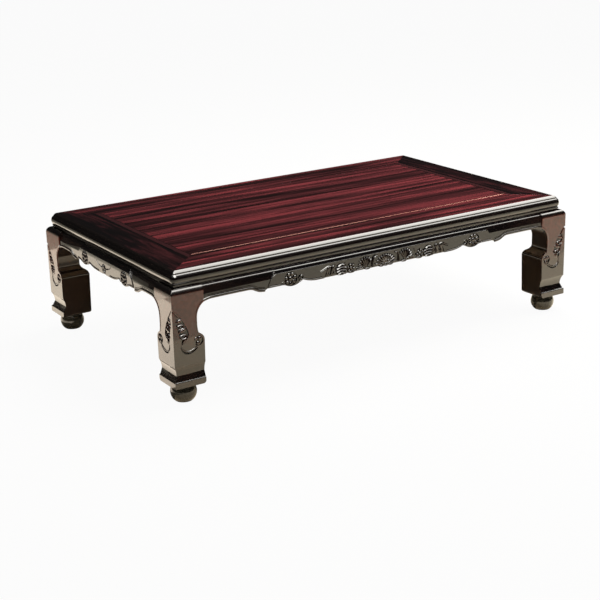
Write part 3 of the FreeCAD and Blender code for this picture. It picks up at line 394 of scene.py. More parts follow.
def chip(kind, x, y, angle, length, width, height=RELIEF, bend=0):
    """Places one stroke on a flat drawing in millimetres, turned by degrees and bent along its length."""
    piece = add_object("chip", CHIPS[kind].copy())
    turn, curve = radians(angle), radians(bend)
    for vertex in piece.data.vertices:
        share, across, rise = vertex.co
        run, drift = share * length, 0
        if curve:
            run = sin(curve * share) / curve * length
            drift = (1 - cos(curve * share)) / curve * length
        across *= width
        run -= across * sin(curve * share)
        drift += across * cos(curve * share)
        vertex.co = (x + run * cos(turn) - drift * sin(turn),
                     y + run * sin(turn) + drift * cos(turn), rise * height)
    return piece


def dome(x, y, width, depth, height=RELIEF):
    """A low boss round a middle."""
    return chip("dome", x - width / 2, y, 0, width, depth, height)


def round_bar(kind, points, radii, thickness, **settings):
    """A bar of round section along points, drawn as a line and made a mesh."""
    curve = bpy.data.curves.new("bar", "CURVE")
    curve.dimensions = "3D"
    curve.bevel_depth = thickness
    curve.use_fill_caps = True
    for setting, value in settings.items():
        setattr(curve, setting, value)
    spline = curve.splines.new(kind)
    spline.points.add(len(points) - 1)
    for point, place, radius in zip(spline.points, points, radii):
        point.co = (*place, 1)
        point.radius = radius
    spline.order_u = 3
    spline.use_endpoint_u = True
    activate(add_object("bar", curve))
    bpy.ops.object.convert(target="MESH")
    return bpy.context.object


def stroke(points, start, end, above, below):
    """A round bar along points of the drawing, tapering, and flattened to a height and a depth."""
    radii = [start + (end - start) * index / (len(points) - 1) for index in range(len(points))]
    stem = round_bar("NURBS", [(x, y, 0) for x, y in points], radii, 1, bevel_resolution=2, resolution_u=5)
    for vertex in stem.data.vertices:
        vertex.co.z *= (above if vertex.co.z > 0 else below) / max(start, end)
    return stem


def lifted(points, lift):
    return [(x, y + lift) for x, y in points]


def tendril(points, start, end, height, berry=0):
    """A tapering stem in relief, with a round berry at its tip if one is asked for."""
    pieces = [stroke(points, start, end, height, RELIEF_SINK * height)]
    if berry:
        pieces.append(dome(*points[-1], 2 * berry, 2 * berry, height))
    return pieces


def close_mesh():
    """Turns all faces of the open mesh outwards and closes it."""
    bpy.ops.mesh.select_all(action="SELECT")
    bpy.ops.mesh.normals_make_consistent(inside=False)
    object_mode()


def extruded(points, push):
    """Opens a mesh with one face through the points, pushed out to its length."""
    deselect()
    bpy.ops.mesh.primitive_circle_add(vertices=len(points), fill_type="NGON")
    solid = bpy.context.object
    for vertex, point in zip(solid.data.vertices, points):
        vertex.co = point
    edit_all()
    bpy.ops.mesh.extrude_region_move(TRANSFORM_OT_translate={"value": push})
    return solid


def pocket(outline, depth):
    """A cutter with upright walls, which sinks the ground round a carving."""
    cutter = extruded([(x, y, -depth) for x, y in outline], (0, 0, depth + 6))
    close_mesh()
    return cutter


def planed(section, starts, length):
    """A cutter of one section, in insets and levels, that runs along a side from each point's start."""
    points = [(start, level, PLAQUE_FACE - inset) for (inset, level), start in zip(section, starts)]
    cutter = extruded(points, (length, 0, 0))
    close_mesh()
    return cutter


def deepen(pieces, depth):
    """Carries the foot of raised strokes down into a sunk ground, with their tops left where they are."""
    for piece in pieces:
        top = max(vertex.co.z for vertex in piece.data.vertices)
        for vertex in piece.data.vertices:
            vertex.co.z = vertex.co.z * (top + depth) / top - depth
    return pieces


def cut_grooves(board, cutter):
    """Takes the cutter out of a board, and then the cutter away."""
    apply_modifier(board, "BOOLEAN", operation="DIFFERENCE", object=cutter, solver="EXACT", use_self=True)
    bpy.data.objects.remove(cutter)
    smooth(board)


def rosette(x, y, radius, petals=7):
    """An open flower in a sunk ground: a ring of curled petals round a boss with a small eye."""
    pieces = []
    for index in range(petals):
        turn = tau * (index + 0.25) / petals
        pieces.append(chip("blunt", x + 0.4 * radius * cos(turn), y + 0.4 * radius * sin(turn),
                           degrees(turn), 0.62 * radius, 0.66 * radius))
    pieces.append(dome(x, y, 0.8 * radius, 0.8 * radius, 0.85 * RELIEF))
    eye = chip("blunt", x - 0.06 * radius, y - 0.22 * radius, 80, 0.5 * radius, 0.4 * radius)
    return pieces + [eye]


def leaf_fan(x, y, first, last, count, length, bend):
    """Ribs spread like a shell from one point, each with a curled tip."""
    pieces = []
    for index in range(count):
        share = index / (count - 1)
        reach = length * (0.9 + 0.1 * sin(pi * share))
        pieces.append(chip("curl", x, y, first + (last - first) * share, reach, 0.16 * reach,
                           bend=bend * (share - 0.5)))
    return pieces


def join_pieces(pieces, name):
    activate(pieces[0])
    for piece in pieces:
        piece.select_set(True)
    bpy.ops.object.join()
    joined = bpy.context.object
    joined.name = joined.data.name = name
    return joined


def half_sizes(side):
    """Half the length of a side, and half the table's size across it."""
    return (HALF_LENGTH, HALF_DEPTH) if side in LONG_SIDES else (HALF_DEPTH, HALF_LENGTH)


def round_to(side):
    """Turns what is drawn for the front round to another side."""
    return Matrix.Rotation(radians(90 * SIDES.index(side)), 4, "Z")


MIRROR = Matrix.Scale(-1, 4, (1, 0, 0))


def onto_side(piece, side, inset, mirrored=False):
    """Stands a flat drawing up on a side of the table, seen from outside, at an inset from its edge."""
    upright = Matrix.Rotation(radians(90), 4, "X")
    outward = Matrix.Translation((0, inset - half_sizes(side)[1], 0))
    flip = MIRROR if mirrored else Matrix.Identity(4)
    piece.data.transform(Matrix.Scale(MM, 4) @ round_to(side) @ outward @ upright @ flip)
    if mirrored:
        piece.data.flip_normals()
    piece.data.update()


def mirror_drawing(pieces):
    """Copies of flat pieces, turned over about the drawing's middle line."""
    copies = [add_object("chip", piece.data.copy()) for piece in pieces]
    for copy in copies:
        copy.data.transform(MIRROR)
        copy.data.flip_normals()
    return copies


def finish_carving(pieces, name, side, inset, material):
    """Joins a flat drawing, stands it up on its side and finishes it like the wood it is cut in."""
    carving = join_pieces(pieces, name)
    onto_side(carving, side, inset)
    activate(carving)
    bpy.ops.object.shade_smooth_by_angle(angle=CARVING_ANGLE)
    finish_piece(carving, "frame", "lacquered_wood", None, material)


def long_half():
    """The right half of the front and back aprons' drawing: flower, hook, leaves, shell, petals and fan."""
    pieces = rosette(349, 314, 20.5)
    for angle, length in ((150, 17), (208, 16)):
        pieces.append(chip("curl", 322, 311, angle, length, 7.5))
    pieces.append(chip("curl", 366, 309, -10, 17, 7, 0.7 * RELIEF))
    pieces += tendril(LEAF_HOOK, 2, 3, RELIEF, 3.2)
    for x, z, angle in ((224, 295, 115), (205.5, 295.5, 113)):
        pieces.append(chip("curl", x, z, angle, 35, 11, bend=-14))
        pieces.append(chip("leaf", x - 3, z - 1, angle + 8, 20, 6, 0.6 * RELIEF))
    for level, reach in ((322.5, 13), (314, 18), (305.5, 18), (297.5, 14)):
        crescent = [(166.5 + reach * share, level + 2.5 - 4.5 * share**2)
                    for share in (-1, -0.6, 0, 0.6, 1)]
        pieces += tendril(crescent, 3.9, 3.9, RELIEF)
    pieces += rosette(132, 308, 14.5, 6)
    for x, z, angle, length in ((114, 304, 184, 32), (110, 297, 178, 30)):
        pieces.append(chip("curl", x, z, angle, length, 8, bend=-16))
    pieces += leaf_fan(74, 297, 36, 116, 7, 38, 26)
    pieces += tendril([(50, 297), (51, 310), (48, 322), (41, 330), (36, 329)], 2.6, 2, RELIEF, 3)
    for x, width in ((166.5, 26), (130, 26), (70, 22)):
        pieces.append(dome(x, 295, width, 8.4, 0.8 * RELIEF))
    return pieces


def long_middle():
    """The half flower in the middle of the front and back aprons: ribs round a boss on scallops."""
    pieces = []
    for index in range(11):
        turn = pi * (index + 0.5) / 11
        reach = 1 / hypot(cos(turn) / 42, sin(turn) / 33)
        pieces.append(chip("curl", 0, 297, degrees(turn), reach, 7.6))
    for index in range(5):
        pieces.append(chip("curl", 0, 296.5, 180 * (index + 0.5) / 5, 18, 10))
    pieces.append(dome(0, 297, 16, 14))
    return pieces + [dome(x, 294.5, 20, 9) for x in (-17, 0, 17)]


def short_half():
    """The right half of the side aprons' drawing: a flower, and a leaf beside the sprig."""
    return rosette(140, 315, 20.5) + [chip("leaf", 3, 309, 26, 13, 7, bend=-30)]


def short_middle():
    """The sprig in the middle of the side aprons: a bud over two leaves that fall to the lower edge."""
    pieces = [chip("leaf", 0, 310, angle, 15, 7) for angle in (62, 90, 118)]
    pieces += [chip("petal", 0, 309, angle, 17, 8) for angle in (-72, -108)]
    return pieces + [dome(0, 309, 9, 9)]


def edge_lines(cusp, bow, joint):
    """Right half of the lines along the lower edge: the bead on the board's end, then two on the plaque."""
    end = [(joint + 1, 304.5), (joint - 14, 309), (joint - 30, 310.3), (cusp + 60, 310.3),
           (cusp + 42, 309.5), (cusp + 28, 302), (cusp + 15, 296), (cusp - 1, 295)]
    near, far = bow - 31.5, bow + 31.5
    plaque = [(cusp - 16, 303), (far + 3, 303), (far - 10, 297)]
    inner = [(near + 10, 298.5), (near, 307.5), (near - 14, 302), (near - 34, 297.8),
             (near - 52, 296.6), (near - 70, 296.4)]
    return end, plaque, inner


for side in SIDES:
    if side in LONG_SIDES:
        cusp, bow, joint, plaque_end, length = LONG_PLACES
        half_drawing, middle = long_half(), long_middle()
        hook_groove = [(x - 1, z - 4.4) for x, z in LEAF_HOOK[:4]]
        cutters = [pocket(disc(349, 314, 22.5), GROUND), pocket(disc(315, 311.5, 10.5, 16), GROUND),
                   stroke(hook_groove, 1.6, 2.2, 1, 2.6)]
        middle_cutters = [pocket(BAND_GROUND + [(-x, z) for x, z in reversed(BAND_GROUND)], GROUND)]
    else:
        cusp, bow, joint, plaque_end, length = SHORT_PLACES
        half_drawing, middle = short_half(), short_middle()
        cutters = [pocket(disc(140, 315, 22.5), GROUND), stroke(SPRIG_TENDRIL, 2.4, 1.4, 2, 3)]
        middle_cutters = [pocket(SPRIG_GROUND, GROUND)]
    deepen(half_drawing + middle, GROUND - SEAT)
    starts = [plaque_end + 0.4 - PLAQUE_LEAN * min((level - PLAQUE_FOOT) / PLAQUE_RISE, 1) ** PLAQUE_BOW
              for inset, level in END_HOLLOW]
    cutters.append(planed(END_HOLLOW, starts, length))
    plaque_head = plaque_end + 0.6 - PLAQUE_LEAN
    middle_cutters.append(planed(MIDDLE_HOLLOW, [-plaque_head] * len(MIDDLE_HOLLOW), 2 * plaque_head))
    end, *plaque_lines = edge_lines(cusp, bow, joint)
    for line in plaque_lines:
        cutters.append(stroke(lifted(line, PLAQUE_GROOVE_LIFT), *FINE_GROOVE))
        half_drawing += tendril(line, 1.7, 1.7, 1.9)
    grounds = join_pieces(cutters + mirror_drawing(cutters) + middle_cutters, "plaque_grounds")
    onto_side(grounds, side, PLAQUE_FACE)
    end_grooves = [stroke(lifted(end[1:], lift), *FINE_GROOVE) for lift in END_GROOVE_LIFTS]
    end_grooves = join_pieces(end_grooves + mirror_drawing(end_grooves), "end_grooves")
    onto_side(end_grooves, side, APRON_FACE)
    cut_grooves(boards[side], join_pieces([grounds, end_grooves], "apron_cuts"))
    finish_carving(half_drawing + mirror_drawing(half_drawing) + middle, f"carving_{side}", side,
                   PLAQUE_FACE, APRON_LACQUER[side])
    bead = [stroke(end, *EDGE_BEAD)]
    finish_carving(bead + mirror_drawing(bead), f"edge_beads_{side}", side, APRON_FACE, APRON_LACQUER[side])


# Carving on the legs: on each outer face a leaf of stacked curls falls from the corner, a hooked line
# runs on into a small scroll on the knee, and a bead follows the inner edge. Cut in low relief and
# lacquered with the leg.
LEG_FACE, LEG_RELIEF, LEG_GROUND = 2, 1.9, 3.8
LEG_BEAD, HOOK_GROOVE_DEPTHS = (3.4, 2.2, 1.6, 2.6), (1.8, 3.6)
CURL_GROUND = [(13, 268), (24, 267.5), (34, 259), (42, 245), (49, 229), (53, 213), (46, 200), (29, 185),
               (25, 199), (21.5, 214), (17.5, 232), (12, 252)]
TONGUE = [(0.5, 293), (6, 291.5), (14, 282), (23, 269), (29, 263)]
LEG_EDGE = oval(132, 260, 53.5, 53.5, range(118, 180, 12)) + [(78.5, 245), (78.8, 228), (82, 213)]
HOOK = [(26, 180), (28, 170), (36, 161), (47, 157), (59, 159), (69, 164), (78, 171)]


def leg_drawing():
    """One leg face seen from outside, X from the corner inwards: a leaf of stacked curls, a hook that
    runs into a scroll of three lobes, and the bead."""
    pieces = [chip("blunt", 13, 254, 26, 24, 12, LEG_RELIEF, -16),
              chip("blunt", 20.5, 223.5, 24, 28, 12.5, LEG_RELIEF, -16),
              chip("leaf", 47, 205, 228, 26, 12, LEG_RELIEF)]
    for x, y, width, height in ((27, 241, 11, 6.4), (34, 210.5, 11.5, 6.4)):
        pieces += tendril(oval(x, y, width, height, range(0, 375, 30)), 2.5, 2.5, LEG_RELIEF)
        pieces.append(dome(x, y, 8, 4.4, 0.8 * LEG_RELIEF))
    for x, y, radius in ((75, 196, 6.2), (88, 195, 7.6), (82, 181.5, 7)):
        pieces.append(dome(x, y, 2 * radius, 2 * radius, LEG_RELIEF))
    deepen(pieces, LEG_GROUND - SEAT)
    pieces += tendril([(x + 1, y + 5) for x, y in HOOK], 1.8, 2.7, LEG_RELIEF)
    return pieces + [stroke(LEG_EDGE, *LEG_BEAD)]


def leg_grounds():
    return [pocket(CURL_GROUND, LEG_GROUND), pocket(disc(83, 190, 15.5, 20), LEG_GROUND),
            stroke(TONGUE, 3, 3.4, *HOOK_GROOVE_DEPTHS), stroke(HOOK, 2.4, 3.3, *HOOK_GROOVE_DEPTHS)]


leg_cuts = {corner: [] for corner in CORNERS}
for index, side in enumerate(SIDES):
    to_corner = Matrix.Translation((-half_sizes(side)[0], 0, 0))
    pieces = leg_drawing()
    for piece in pieces:
        piece.data.transform(to_corner)
    finish_carving(pieces + mirror_drawing(pieces), f"leg_carving_{side}", side, LEG_FACE, LEG_LACQUER)
    for corner, mirrored in ((CORNERS[index], False), (CORNERS[(index + 1) % 4], True)):
        cutter = join_pieces(leg_grounds(), "leg_grounds")
        cutter.data.transform(to_corner)
        onto_side(cutter, side, LEG_FACE, mirrored)
        leg_cuts[corner].append(cutter)
for corner in CORNERS:
    cut_grooves(legs[corner], join_pieces(leg_cuts[corner], "leg_cuts"))


# Ball feet: turned from hardwood, with a flat base, a full belly and a beaded neck under the leg,
# lacquered black. Each screws up into its leg on a stud, with a felt washer between the two.
def arc_points(start, middle, end, count):
    """Points on the circle through three points, without the first."""
    a, b, c = complex(*start), complex(*middle), complex(*end)
    skew = (c - a) / (b - a)
    centre = a + (b - a) * (skew - abs(skew) ** 2) / (2j * skew.imag)
    sweep = cmath.phase((c - centre) / (a - centre))
    points = [centre + (a - centre) * cmath.rect(1, sweep * i / count) for i in range(1, count + 1)]
    return [(point.real, point.imag) for point in points]


FOOT_PROFILE = ([(0, 0), (22, 0), (26, 0.5)]
                + arc_points((26, 0.5), (38.7, 22), (33.6, 46.6), 20)
                + [(32, 47.4), (32, 48.2), (33, 49), (33.6, 50.2), (33.6, 51.4), (33, 52.5),
                   (32, 53), (22.6, 53), (22.6, 39.4), (4.1, 39.4), (4.1, 13.4), (0, 13.4)])
FOOT_STEPS, FOOT_SMOOTH_ANGLE = 56, radians(40)


def turned_lacquer():
    material, tree, place = new_material("turned_lacquer")
    figure = place_group(tree, WOOD_FIGURE, stretched(tree, place, (70, 70, 4)), 0.4)
    wave = place_group(tree, SURFACE_WAVE, place, 80)
    base = colour_ramp(tree, figure["Streaks"], [
        (0.35, (0.02, 0.019, 0.014)), (0.7, (0.042, 0.04, 0.029))])
    rough = value_range(tree, wave["Patches"], 0.3, 0.7, 0.24, 0.36)
    return finish_surface(material, base, rough, wave["Height"], 0.04, 0.5 * MM, IOR=1.5,
                          Specular_IOR_Level=0.1, Coat_Weight=1, Coat_Roughness=0.13, Coat_IOR=1.6)


def turned(name, profile, centre):
    """A closed turning: the profile is drawn as a chain of vertices and spun about the upright axis."""
    mesh = bpy.data.meshes.new(name)
    mesh.from_pydata([(r * MM, 0, z * MM) for r, z in profile],
                     [(i, i + 1) for i in range(len(profile) - 1)], [])
    piece = add_object(name, mesh)
    activate(piece)
    edit_all()
    bpy.ops.mesh.spin(steps=FOOT_STEPS, angle=tau, center=(0, 0, 0), axis=(0, 0, 1))
    bpy.ops.mesh.select_all(action="SELECT")
    bpy.ops.mesh.remove_doubles(threshold=0.005 * MM)
    close_mesh()
    piece.data.transform(Matrix.Translation((centre.x, centre.y, 0)))
    bpy.ops.object.shade_smooth_by_angle(angle=FOOT_SMOOTH_ANGLE)
    return piece


turned_lacquer()
for corner in CORNERS:
    low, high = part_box(f"foot_{corner}")
    foot = turned(f"ball_{corner}", FOOT_PROFILE, (low + high) / 2)
    finish_piece(foot, f"foot_{corner}", "turned_lacquer", f"foot_{corner}")


# Rim of the top: four moulded rails of rosewood, mitred at the corners, with a thumb moulding, a quirk
# and a bead along the outer edge. The mouldings are stained black and everything is lacquered clear.
QUIRK = (24, 390.5)
RIM_PROFILE = ([(38, 400)] + arc_points((38, 400), (31, 398.505), (24, 393.5), 12)
               + [QUIRK, (22, 390.5)] + arc_points((22, 390.5), (14, 375.75), (21, 361), 18)
               + [(74, 361), (74, 376), (160, 376), (160, 386), (148, 386), (148, 400)])
SHORT_RIM_PROFILE = [point for point in RIM_PROFILE if point != QUIRK]
ROUND_INSET, ROUND_STEPS = 30, 5


def mitred_rail(name, side, profile):
    """A rail drawn as its section and extruded along its side, with each end turned up to the mitre:
    lines nearer the outside than the inset of the rounding go round the corner in an arc."""
    half_side, half_across = half_sizes(side)
    rail = extruded([(-half_side * MM, (inset - half_across) * MM, level * MM) for inset, level in profile],
                    (2 * half_side * MM, 0, 0))
    for way in (-1, 1):
        for step in range(ROUND_STEPS):
            place = way * (half_side - ROUND_INSET * (1 - step / ROUND_STEPS))
            bpy.ops.mesh.select_all(action="SELECT")
            bpy.ops.mesh.bisect(plane_co=(place * MM, 0, 0), plane_no=(1, 0, 0))
    object_mode()
    for vertex in rail.data.vertices:
        turned_by = (abs(vertex.co.x) / MM - half_side) / ROUND_INSET + 1
        if turned_by > -0.01:
            angle = radians(45) * max(turned_by, 0)
            inset = vertex.co.y / MM + half_across
            radius, centre_inset = max(ROUND_INSET - inset, 0), max(ROUND_INSET, inset)
            out = half_side - centre_inset + radius * sin(angle)
            vertex.co.x = copysign(out, vertex.co.x) * MM
            vertex.co.y = (centre_inset - radius * cos(angle) - half_across) * MM
    edit_all()
    bpy.ops.mesh.remove_doubles(threshold=0.01 * MM)
    close_mesh()
    rail.data.transform(round_to(side))
    rail.name = rail.data.name = name
    return rail


ROSEWOOD_TONES = {
    "red": [(0.37, (0.008, 0.002, 0.002)), (0.44, (0.048, 0.01, 0.012)), (0.5, (0.1, 0.02, 0.024)),
            (0.56, (0.185, 0.033, 0.04)), (0.65, (0.38, 0.06, 0.072))],
    "dark": [(0.38, (0.004, 0.0015, 0.002)), (0.47, (0.012, 0.004, 0.005)), (0.53, (0.055, 0.014, 0.017)),
             (0.59, (0.135, 0.031, 0.037)), (0.7, (0.2, 0.044, 0.052))],
    # Pale tones that paint a line of highlight along the panel's front bevel.
    "painted_highlight": [(0.35, (0.56, 0.22, 0.17)), (0.5, (0.76, 0.35, 0.28)), (0.65, (0.9, 0.48, 0.38))],
}
BAND_TONES = [(0, BLACK), (0.09, (0.05, 0.05, 0.05)), (0.12, WHITE), (0.5, WHITE), (0.55, BLACK),
              (0.75, (0.12, 0.12, 0.12)), (0.9, (0.4, 0.4, 0.4))]


def rosewood(name, grain, tone, banded=False):
    """Streaked veneer under gloss lacquer. Below the flat it is stained black, as on the mouldings, but not
    where the tone is the pale painted highlight of the panel's front bevel. A banded rail has a dark line
    and a strip of plain veneer beside the panel."""
    material, tree, place = new_material(name)
    painted_highlight = tone == "painted_highlight"
    figure = place_group(tree, WOOD_FIGURE, stretched(tree, place, grain), 1.3 if tone == "dark" else 0.55)
    wave = place_group(tree, SURFACE_WAVE, place, 30)
    base = colour_ramp(tree, figure["Streaks"], ROSEWOOD_TONES[tone])
    lines = value_range(tree, figure["Lines"], 0.45, 0.78, 0, 0.15 if painted_highlight else 0.65)
    base = mix_colour(tree, lines, base, (0.03, 0.006, 0.008))
    pores = maths(tree, "MULTIPLY", figure["Pores"], 0.1 if painted_highlight else 0.5)
    base = mix_colour(tree, pores, base, (0.012, 0.004, 0.004))
    axes = add_node(tree, "SeparateXYZ", {"Vector": place}).outputs
    if banded:
        out = maths(tree, "ABSOLUTE", axes["X"])
        plain = mix_colour(tree, figure["Lines"], (0.085, 0.022, 0.025), (0.035, 0.01, 0.012))
        base = mix_colour(tree, value_range(tree, out, 620.5 * MM, 622.5 * MM, 1, 0), base, plain)
        band = colour_ramp(tree, value_range(tree, out, 600 * MM, 640 * MM), BAND_TONES)
        base = mix_colour(tree, 1, base, band, "MULTIPLY")
    if not painted_highlight:
        edge = value_range(tree, axes["Z"], 399 * MM, 399.8 * MM, 1, 0)
        base = mix_colour(tree, edge, base, (0.01, 0.006, 0.005))
    rough = value_range(tree, wave["Patches"], 0.3, 0.7, 0.18, 0.28)
    return finish_surface(material, base, rough, wave["Height"], 0.03, 0.6 * MM, IOR=1.5,
                          Specular_IOR_Level=0.02, Coat_Weight=1, Coat_Roughness=0.03, Coat_IOR=1.85)


LONG_RIM = (RIM_PROFILE, 0.45, rosewood("long_rosewood", (1.3, 42, 42), "red"))
SHORT_RIM = (SHORT_RIM_PROFILE, 0.15, rosewood("cross_rosewood", (26, 2.4, 26), "dark", True))
for side in SIDES:
    profile, ease, material = LONG_RIM if side in LONG_SIDES else SHORT_RIM
    rim = mitred_rail(f"rim_{side}", side, profile)
    ease_edges(rim, ease)
    finish_piece(rim, "top", "rosewood", f"top_rim_{side}", material)


# Centre panel: a veneered board let in on the rim's ledge, its front edge lightly bevelled, with a fine
# line of painted highlight along the bevel. Same rosewood as the long rails, with the figure along the
# table.
PANEL_LIFT, PANEL_LEDGE, PANEL_CORE = 0.5 * MM, 386 * MM, 12 * MM
PANEL_BEVEL, PANEL_BEVEL_DROP = 4.2 * MM, 0.55 * MM
PANEL_GRAIN = (1.1, 38, 38)


def select_faces(piece, chosen):
    """Opens the active piece's mesh with the faces selected that the test chooses."""
    bpy.ops.object.mode_set(mode="EDIT")
    bpy.ops.mesh.select_mode(type="FACE")
    bpy.ops.mesh.select_all(action="DESELECT")
    object_mode()
    for polygon in piece.data.polygons:
        polygon.select = chosen(polygon)
    bpy.ops.object.mode_set(mode="EDIT")


low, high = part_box("top_panel")
deselect()
bpy.ops.mesh.primitive_cube_add(size=1)
panel = bpy.context.object
panel.name = "centre_panel"
panel_top = high.z + PANEL_LIFT
for vertex in panel.data.vertices:
    vertex.co = (copysign(high.x, vertex.co.x), copysign(high.y, vertex.co.y),
                 panel_top if vertex.co.z > 0 else PANEL_LEDGE)
select_faces(panel, lambda face: abs(face.normal.z) > 0.5)
bpy.ops.mesh.inset(thickness=PANEL_BEVEL)
object_mode()
for vertex in panel.data.vertices:
    if vertex.co.y < 0.1 * MM - high.y and vertex.co.z > panel_top - 0.1 * MM:
        vertex.co.z -= PANEL_BEVEL_DROP
select_faces(panel, lambda face: face.normal.z < -0.9 and face.area > 0.3)
bpy.ops.mesh.inset(thickness=PANEL_CORE - PANEL_BEVEL)
bpy.ops.mesh.extrude_region_move(TRANSFORM_OT_translate={"value": (0, 0, low.z - PANEL_LEDGE)})
object_mode()
finish_piece(panel, "top", "rosewood", "top_panel", rosewood("panel_rosewood", PANEL_GRAIN, "red"))
# Painted highlight: the front bevel gets a pale rosewood that shows as a bright line along it.
panel.data.materials.append(rosewood("panel_edge_highlight", PANEL_GRAIN, "painted_highlight"))
for polygon in panel.data.polygons:
    front_bevel = polygon.center.y < PANEL_BEVEL - high.y and 0.9 < polygon.normal.z < 0.9999
    polygon.material_index = 1 if front_bevel else 0


# Strips under the rim: battens that set the top off from the frame with a shadow line, glued under the
# rails and mitred like them. The long ones are lacquered, the short ones stained a dull black.
def black_stain(name, grain):
    material, tree, place = new_material(name)
    figure = place_group(tree, WOOD_FIGURE, stretched(tree, place, grain), 0.4)
    base = colour_ramp(tree, figure["Streaks"], [
        (0.35, (0.004, 0.003, 0.003)), (0.7, (0.013, 0.009, 0.008))])
    rough = value_range(tree, figure["Lines"], 0.3, 0.7, 0.55, 0.75)
    return finish_surface(material, base, rough, figure["Lines"], 0.2, 0.6 * MM, IOR=1.45,
                          Specular_IOR_Level=0.25)


SHORT_STAIN = black_stain("short_batten_stain", (90, 4, 90))
for side in SIDES:
    fit_piece(f"under_strip_{side}", f"batten_{side}", "lacquered_wood", 0.8, 2,
              LONG_LACQUER if side in LONG_SIDES else SHORT_STAIN, "top")


# Bare wood underneath: rails let into the aprons, dowels in the leg joints and the plywood that backs
# the panel. All are planed and left without lacquer.
def bare_wood(name, grain, light, dark):
    material, tree, place = new_material(name)
    figure = place_group(tree, WOOD_FIGURE, stretched(tree, place, grain), 0.7)
    rub_and_shade = place_group(tree, EDGE_RUB_AND_HOLLOW_SHADE, place, 60)
    middle = tuple((a + b) / 2 for a, b in zip(light, dark))
    base = colour_ramp(tree, figure["Streaks"], [(0.3, dark), (0.5, middle), (0.68, light)])
    base = mix_colour(tree, value_range(tree, figure["Lines"], 0.5, 0.8, 0, 0.6), base, dark)
    # Painted shade: the hollows are darkened to under half the dark tone.
    base = mix_colour(tree, rub_and_shade["Painted_hollow_shade"], base, tuple(c * 0.45 for c in dark))
    rough = value_range(tree, figure["Pores"], 0, 1, 0.52, 0.78)
    return finish_surface(material, base, rough, figure["Lines"], 0.15, 0.8 * MM, IOR=1.5,
                          Specular_IOR_Level=0.35)


RAIL_TONES = ((0.36, 0.24, 0.14), (0.22, 0.13, 0.07))
RAIL_LONG = bare_wood("rail_wood_long", (3, 60, 60), *RAIL_TONES)
RAIL_CROSS = bare_wood("rail_wood_cross", (60, 3, 60), *RAIL_TONES)
bare_wood("plywood", (2.2, 26, 260), (0.5, 0.36, 0.23), (0.36, 0.24, 0.14))
for node in ("rail_left", "rail_right", "heater_rail_left", "heater_rail_right"):
    fit_piece(node, f"planed_{node}", "plain_wood", 1.2, 2, RAIL_CROSS)
for node in ("heater_rail_front", "heater_rail_back"):
    fit_piece(node, f"planed_{node}", "plain_wood", 1.2, 2, RAIL_LONG)
fit_piece("apron_dowels", "pegs", "plain_wood", 0.6, 2, RAIL_LONG)
fit_piece("backing_board", "backing_sheet", "plywood", 0.6, body="top")


# Fittings: pressed and turned parts of zinc plated steel that hold the legs, the aprons and the feet,
# with black rubber and felt where the table touches the floor, the top and the legs.
def worked_surface(name, low, high, scale, rough, metal=0, relief=0.05, stretch=WHITE, worn=None):
    """A plain finish with patches, unequal gloss, worn edges and painted shade in the hollows, for metal,
    paint, plastic and clay.
    """
    material, tree, place = new_material(name)
    wave = place_group(tree, SURFACE_WAVE, stretched(tree, place, stretch), scale)
    rub_and_shade = place_group(tree, EDGE_RUB_AND_HOLLOW_SHADE, place, 150)
    base = mix_colour(tree, value_range(tree, wave["Patches"], 0.3, 0.7), low, high)
    # Painted shade: the hollows are darkened to half the low tone.
    base = mix_colour(tree, rub_and_shade["Painted_hollow_shade"], base, tuple(c * 0.5 for c in low))
    if worn:
        base = mix_colour(tree, rub_and_shade["Edges"], base, worn)
    gloss = value_range(tree, wave["Height"], 0.3, 0.7, *rough)
    return finish_surface(material, base, gloss, wave["Height"], relief, 0.5 * MM, Metallic=metal, IOR=1.5)


worked_surface("zinc_steel", (0.46, 0.47, 0.46), (0.64, 0.65, 0.63), 260, (0.28, 0.46), 1, 0.08,
               worn=(0.78, 0.78, 0.76))
worked_surface("black_rubber", (0.014, 0.014, 0.014), (0.03, 0.029, 0.028), 700, (0.6, 0.8), 0, 0.3)
worked_surface("felt", (0.03, 0.024, 0.024), (0.065, 0.054, 0.052), 1500, (0.9, 1), 0, 0.9)
set_numbers(MATERIALS["felt"], Sheen_Weight=0.6, Sheen_Roughness=0.5)
for row in (
        ("leg_sleeves", "threaded_sleeves", "zinc_steel", 0.3, 3),
        ("corner_brackets", "pressed_brackets", "zinc_steel", 0.5, 3),
        ("hanger_bolts", "leg_bolts", "zinc_steel", 0.6, 3),
        ("bracket_screws", "apron_screws", "zinc_steel", 0.7, 3),
        ("wing_nuts", "winged_nuts", "zinc_steel", 1, 3),
        ("backing_screws", "panel_screws", "zinc_steel", 0.7, 3, None, "top"),
        ("leg_glides", "glide_rings", "black_rubber", 1.2, 3),
        ("anti_slip_pads", "grip_pads", "black_rubber", 0.5)):
    fit_piece(*row)
for corner in CORNERS:
    fit_piece(f"foot_stud_{corner}", f"stud_{corner}", "zinc_steel", 0.6, body=f"foot_{corner}")
    fit_piece(f"foot_washer_{corner}", f"felt_ring_{corner}", "felt", 0.9, 3, body=f"washer_{corner}")


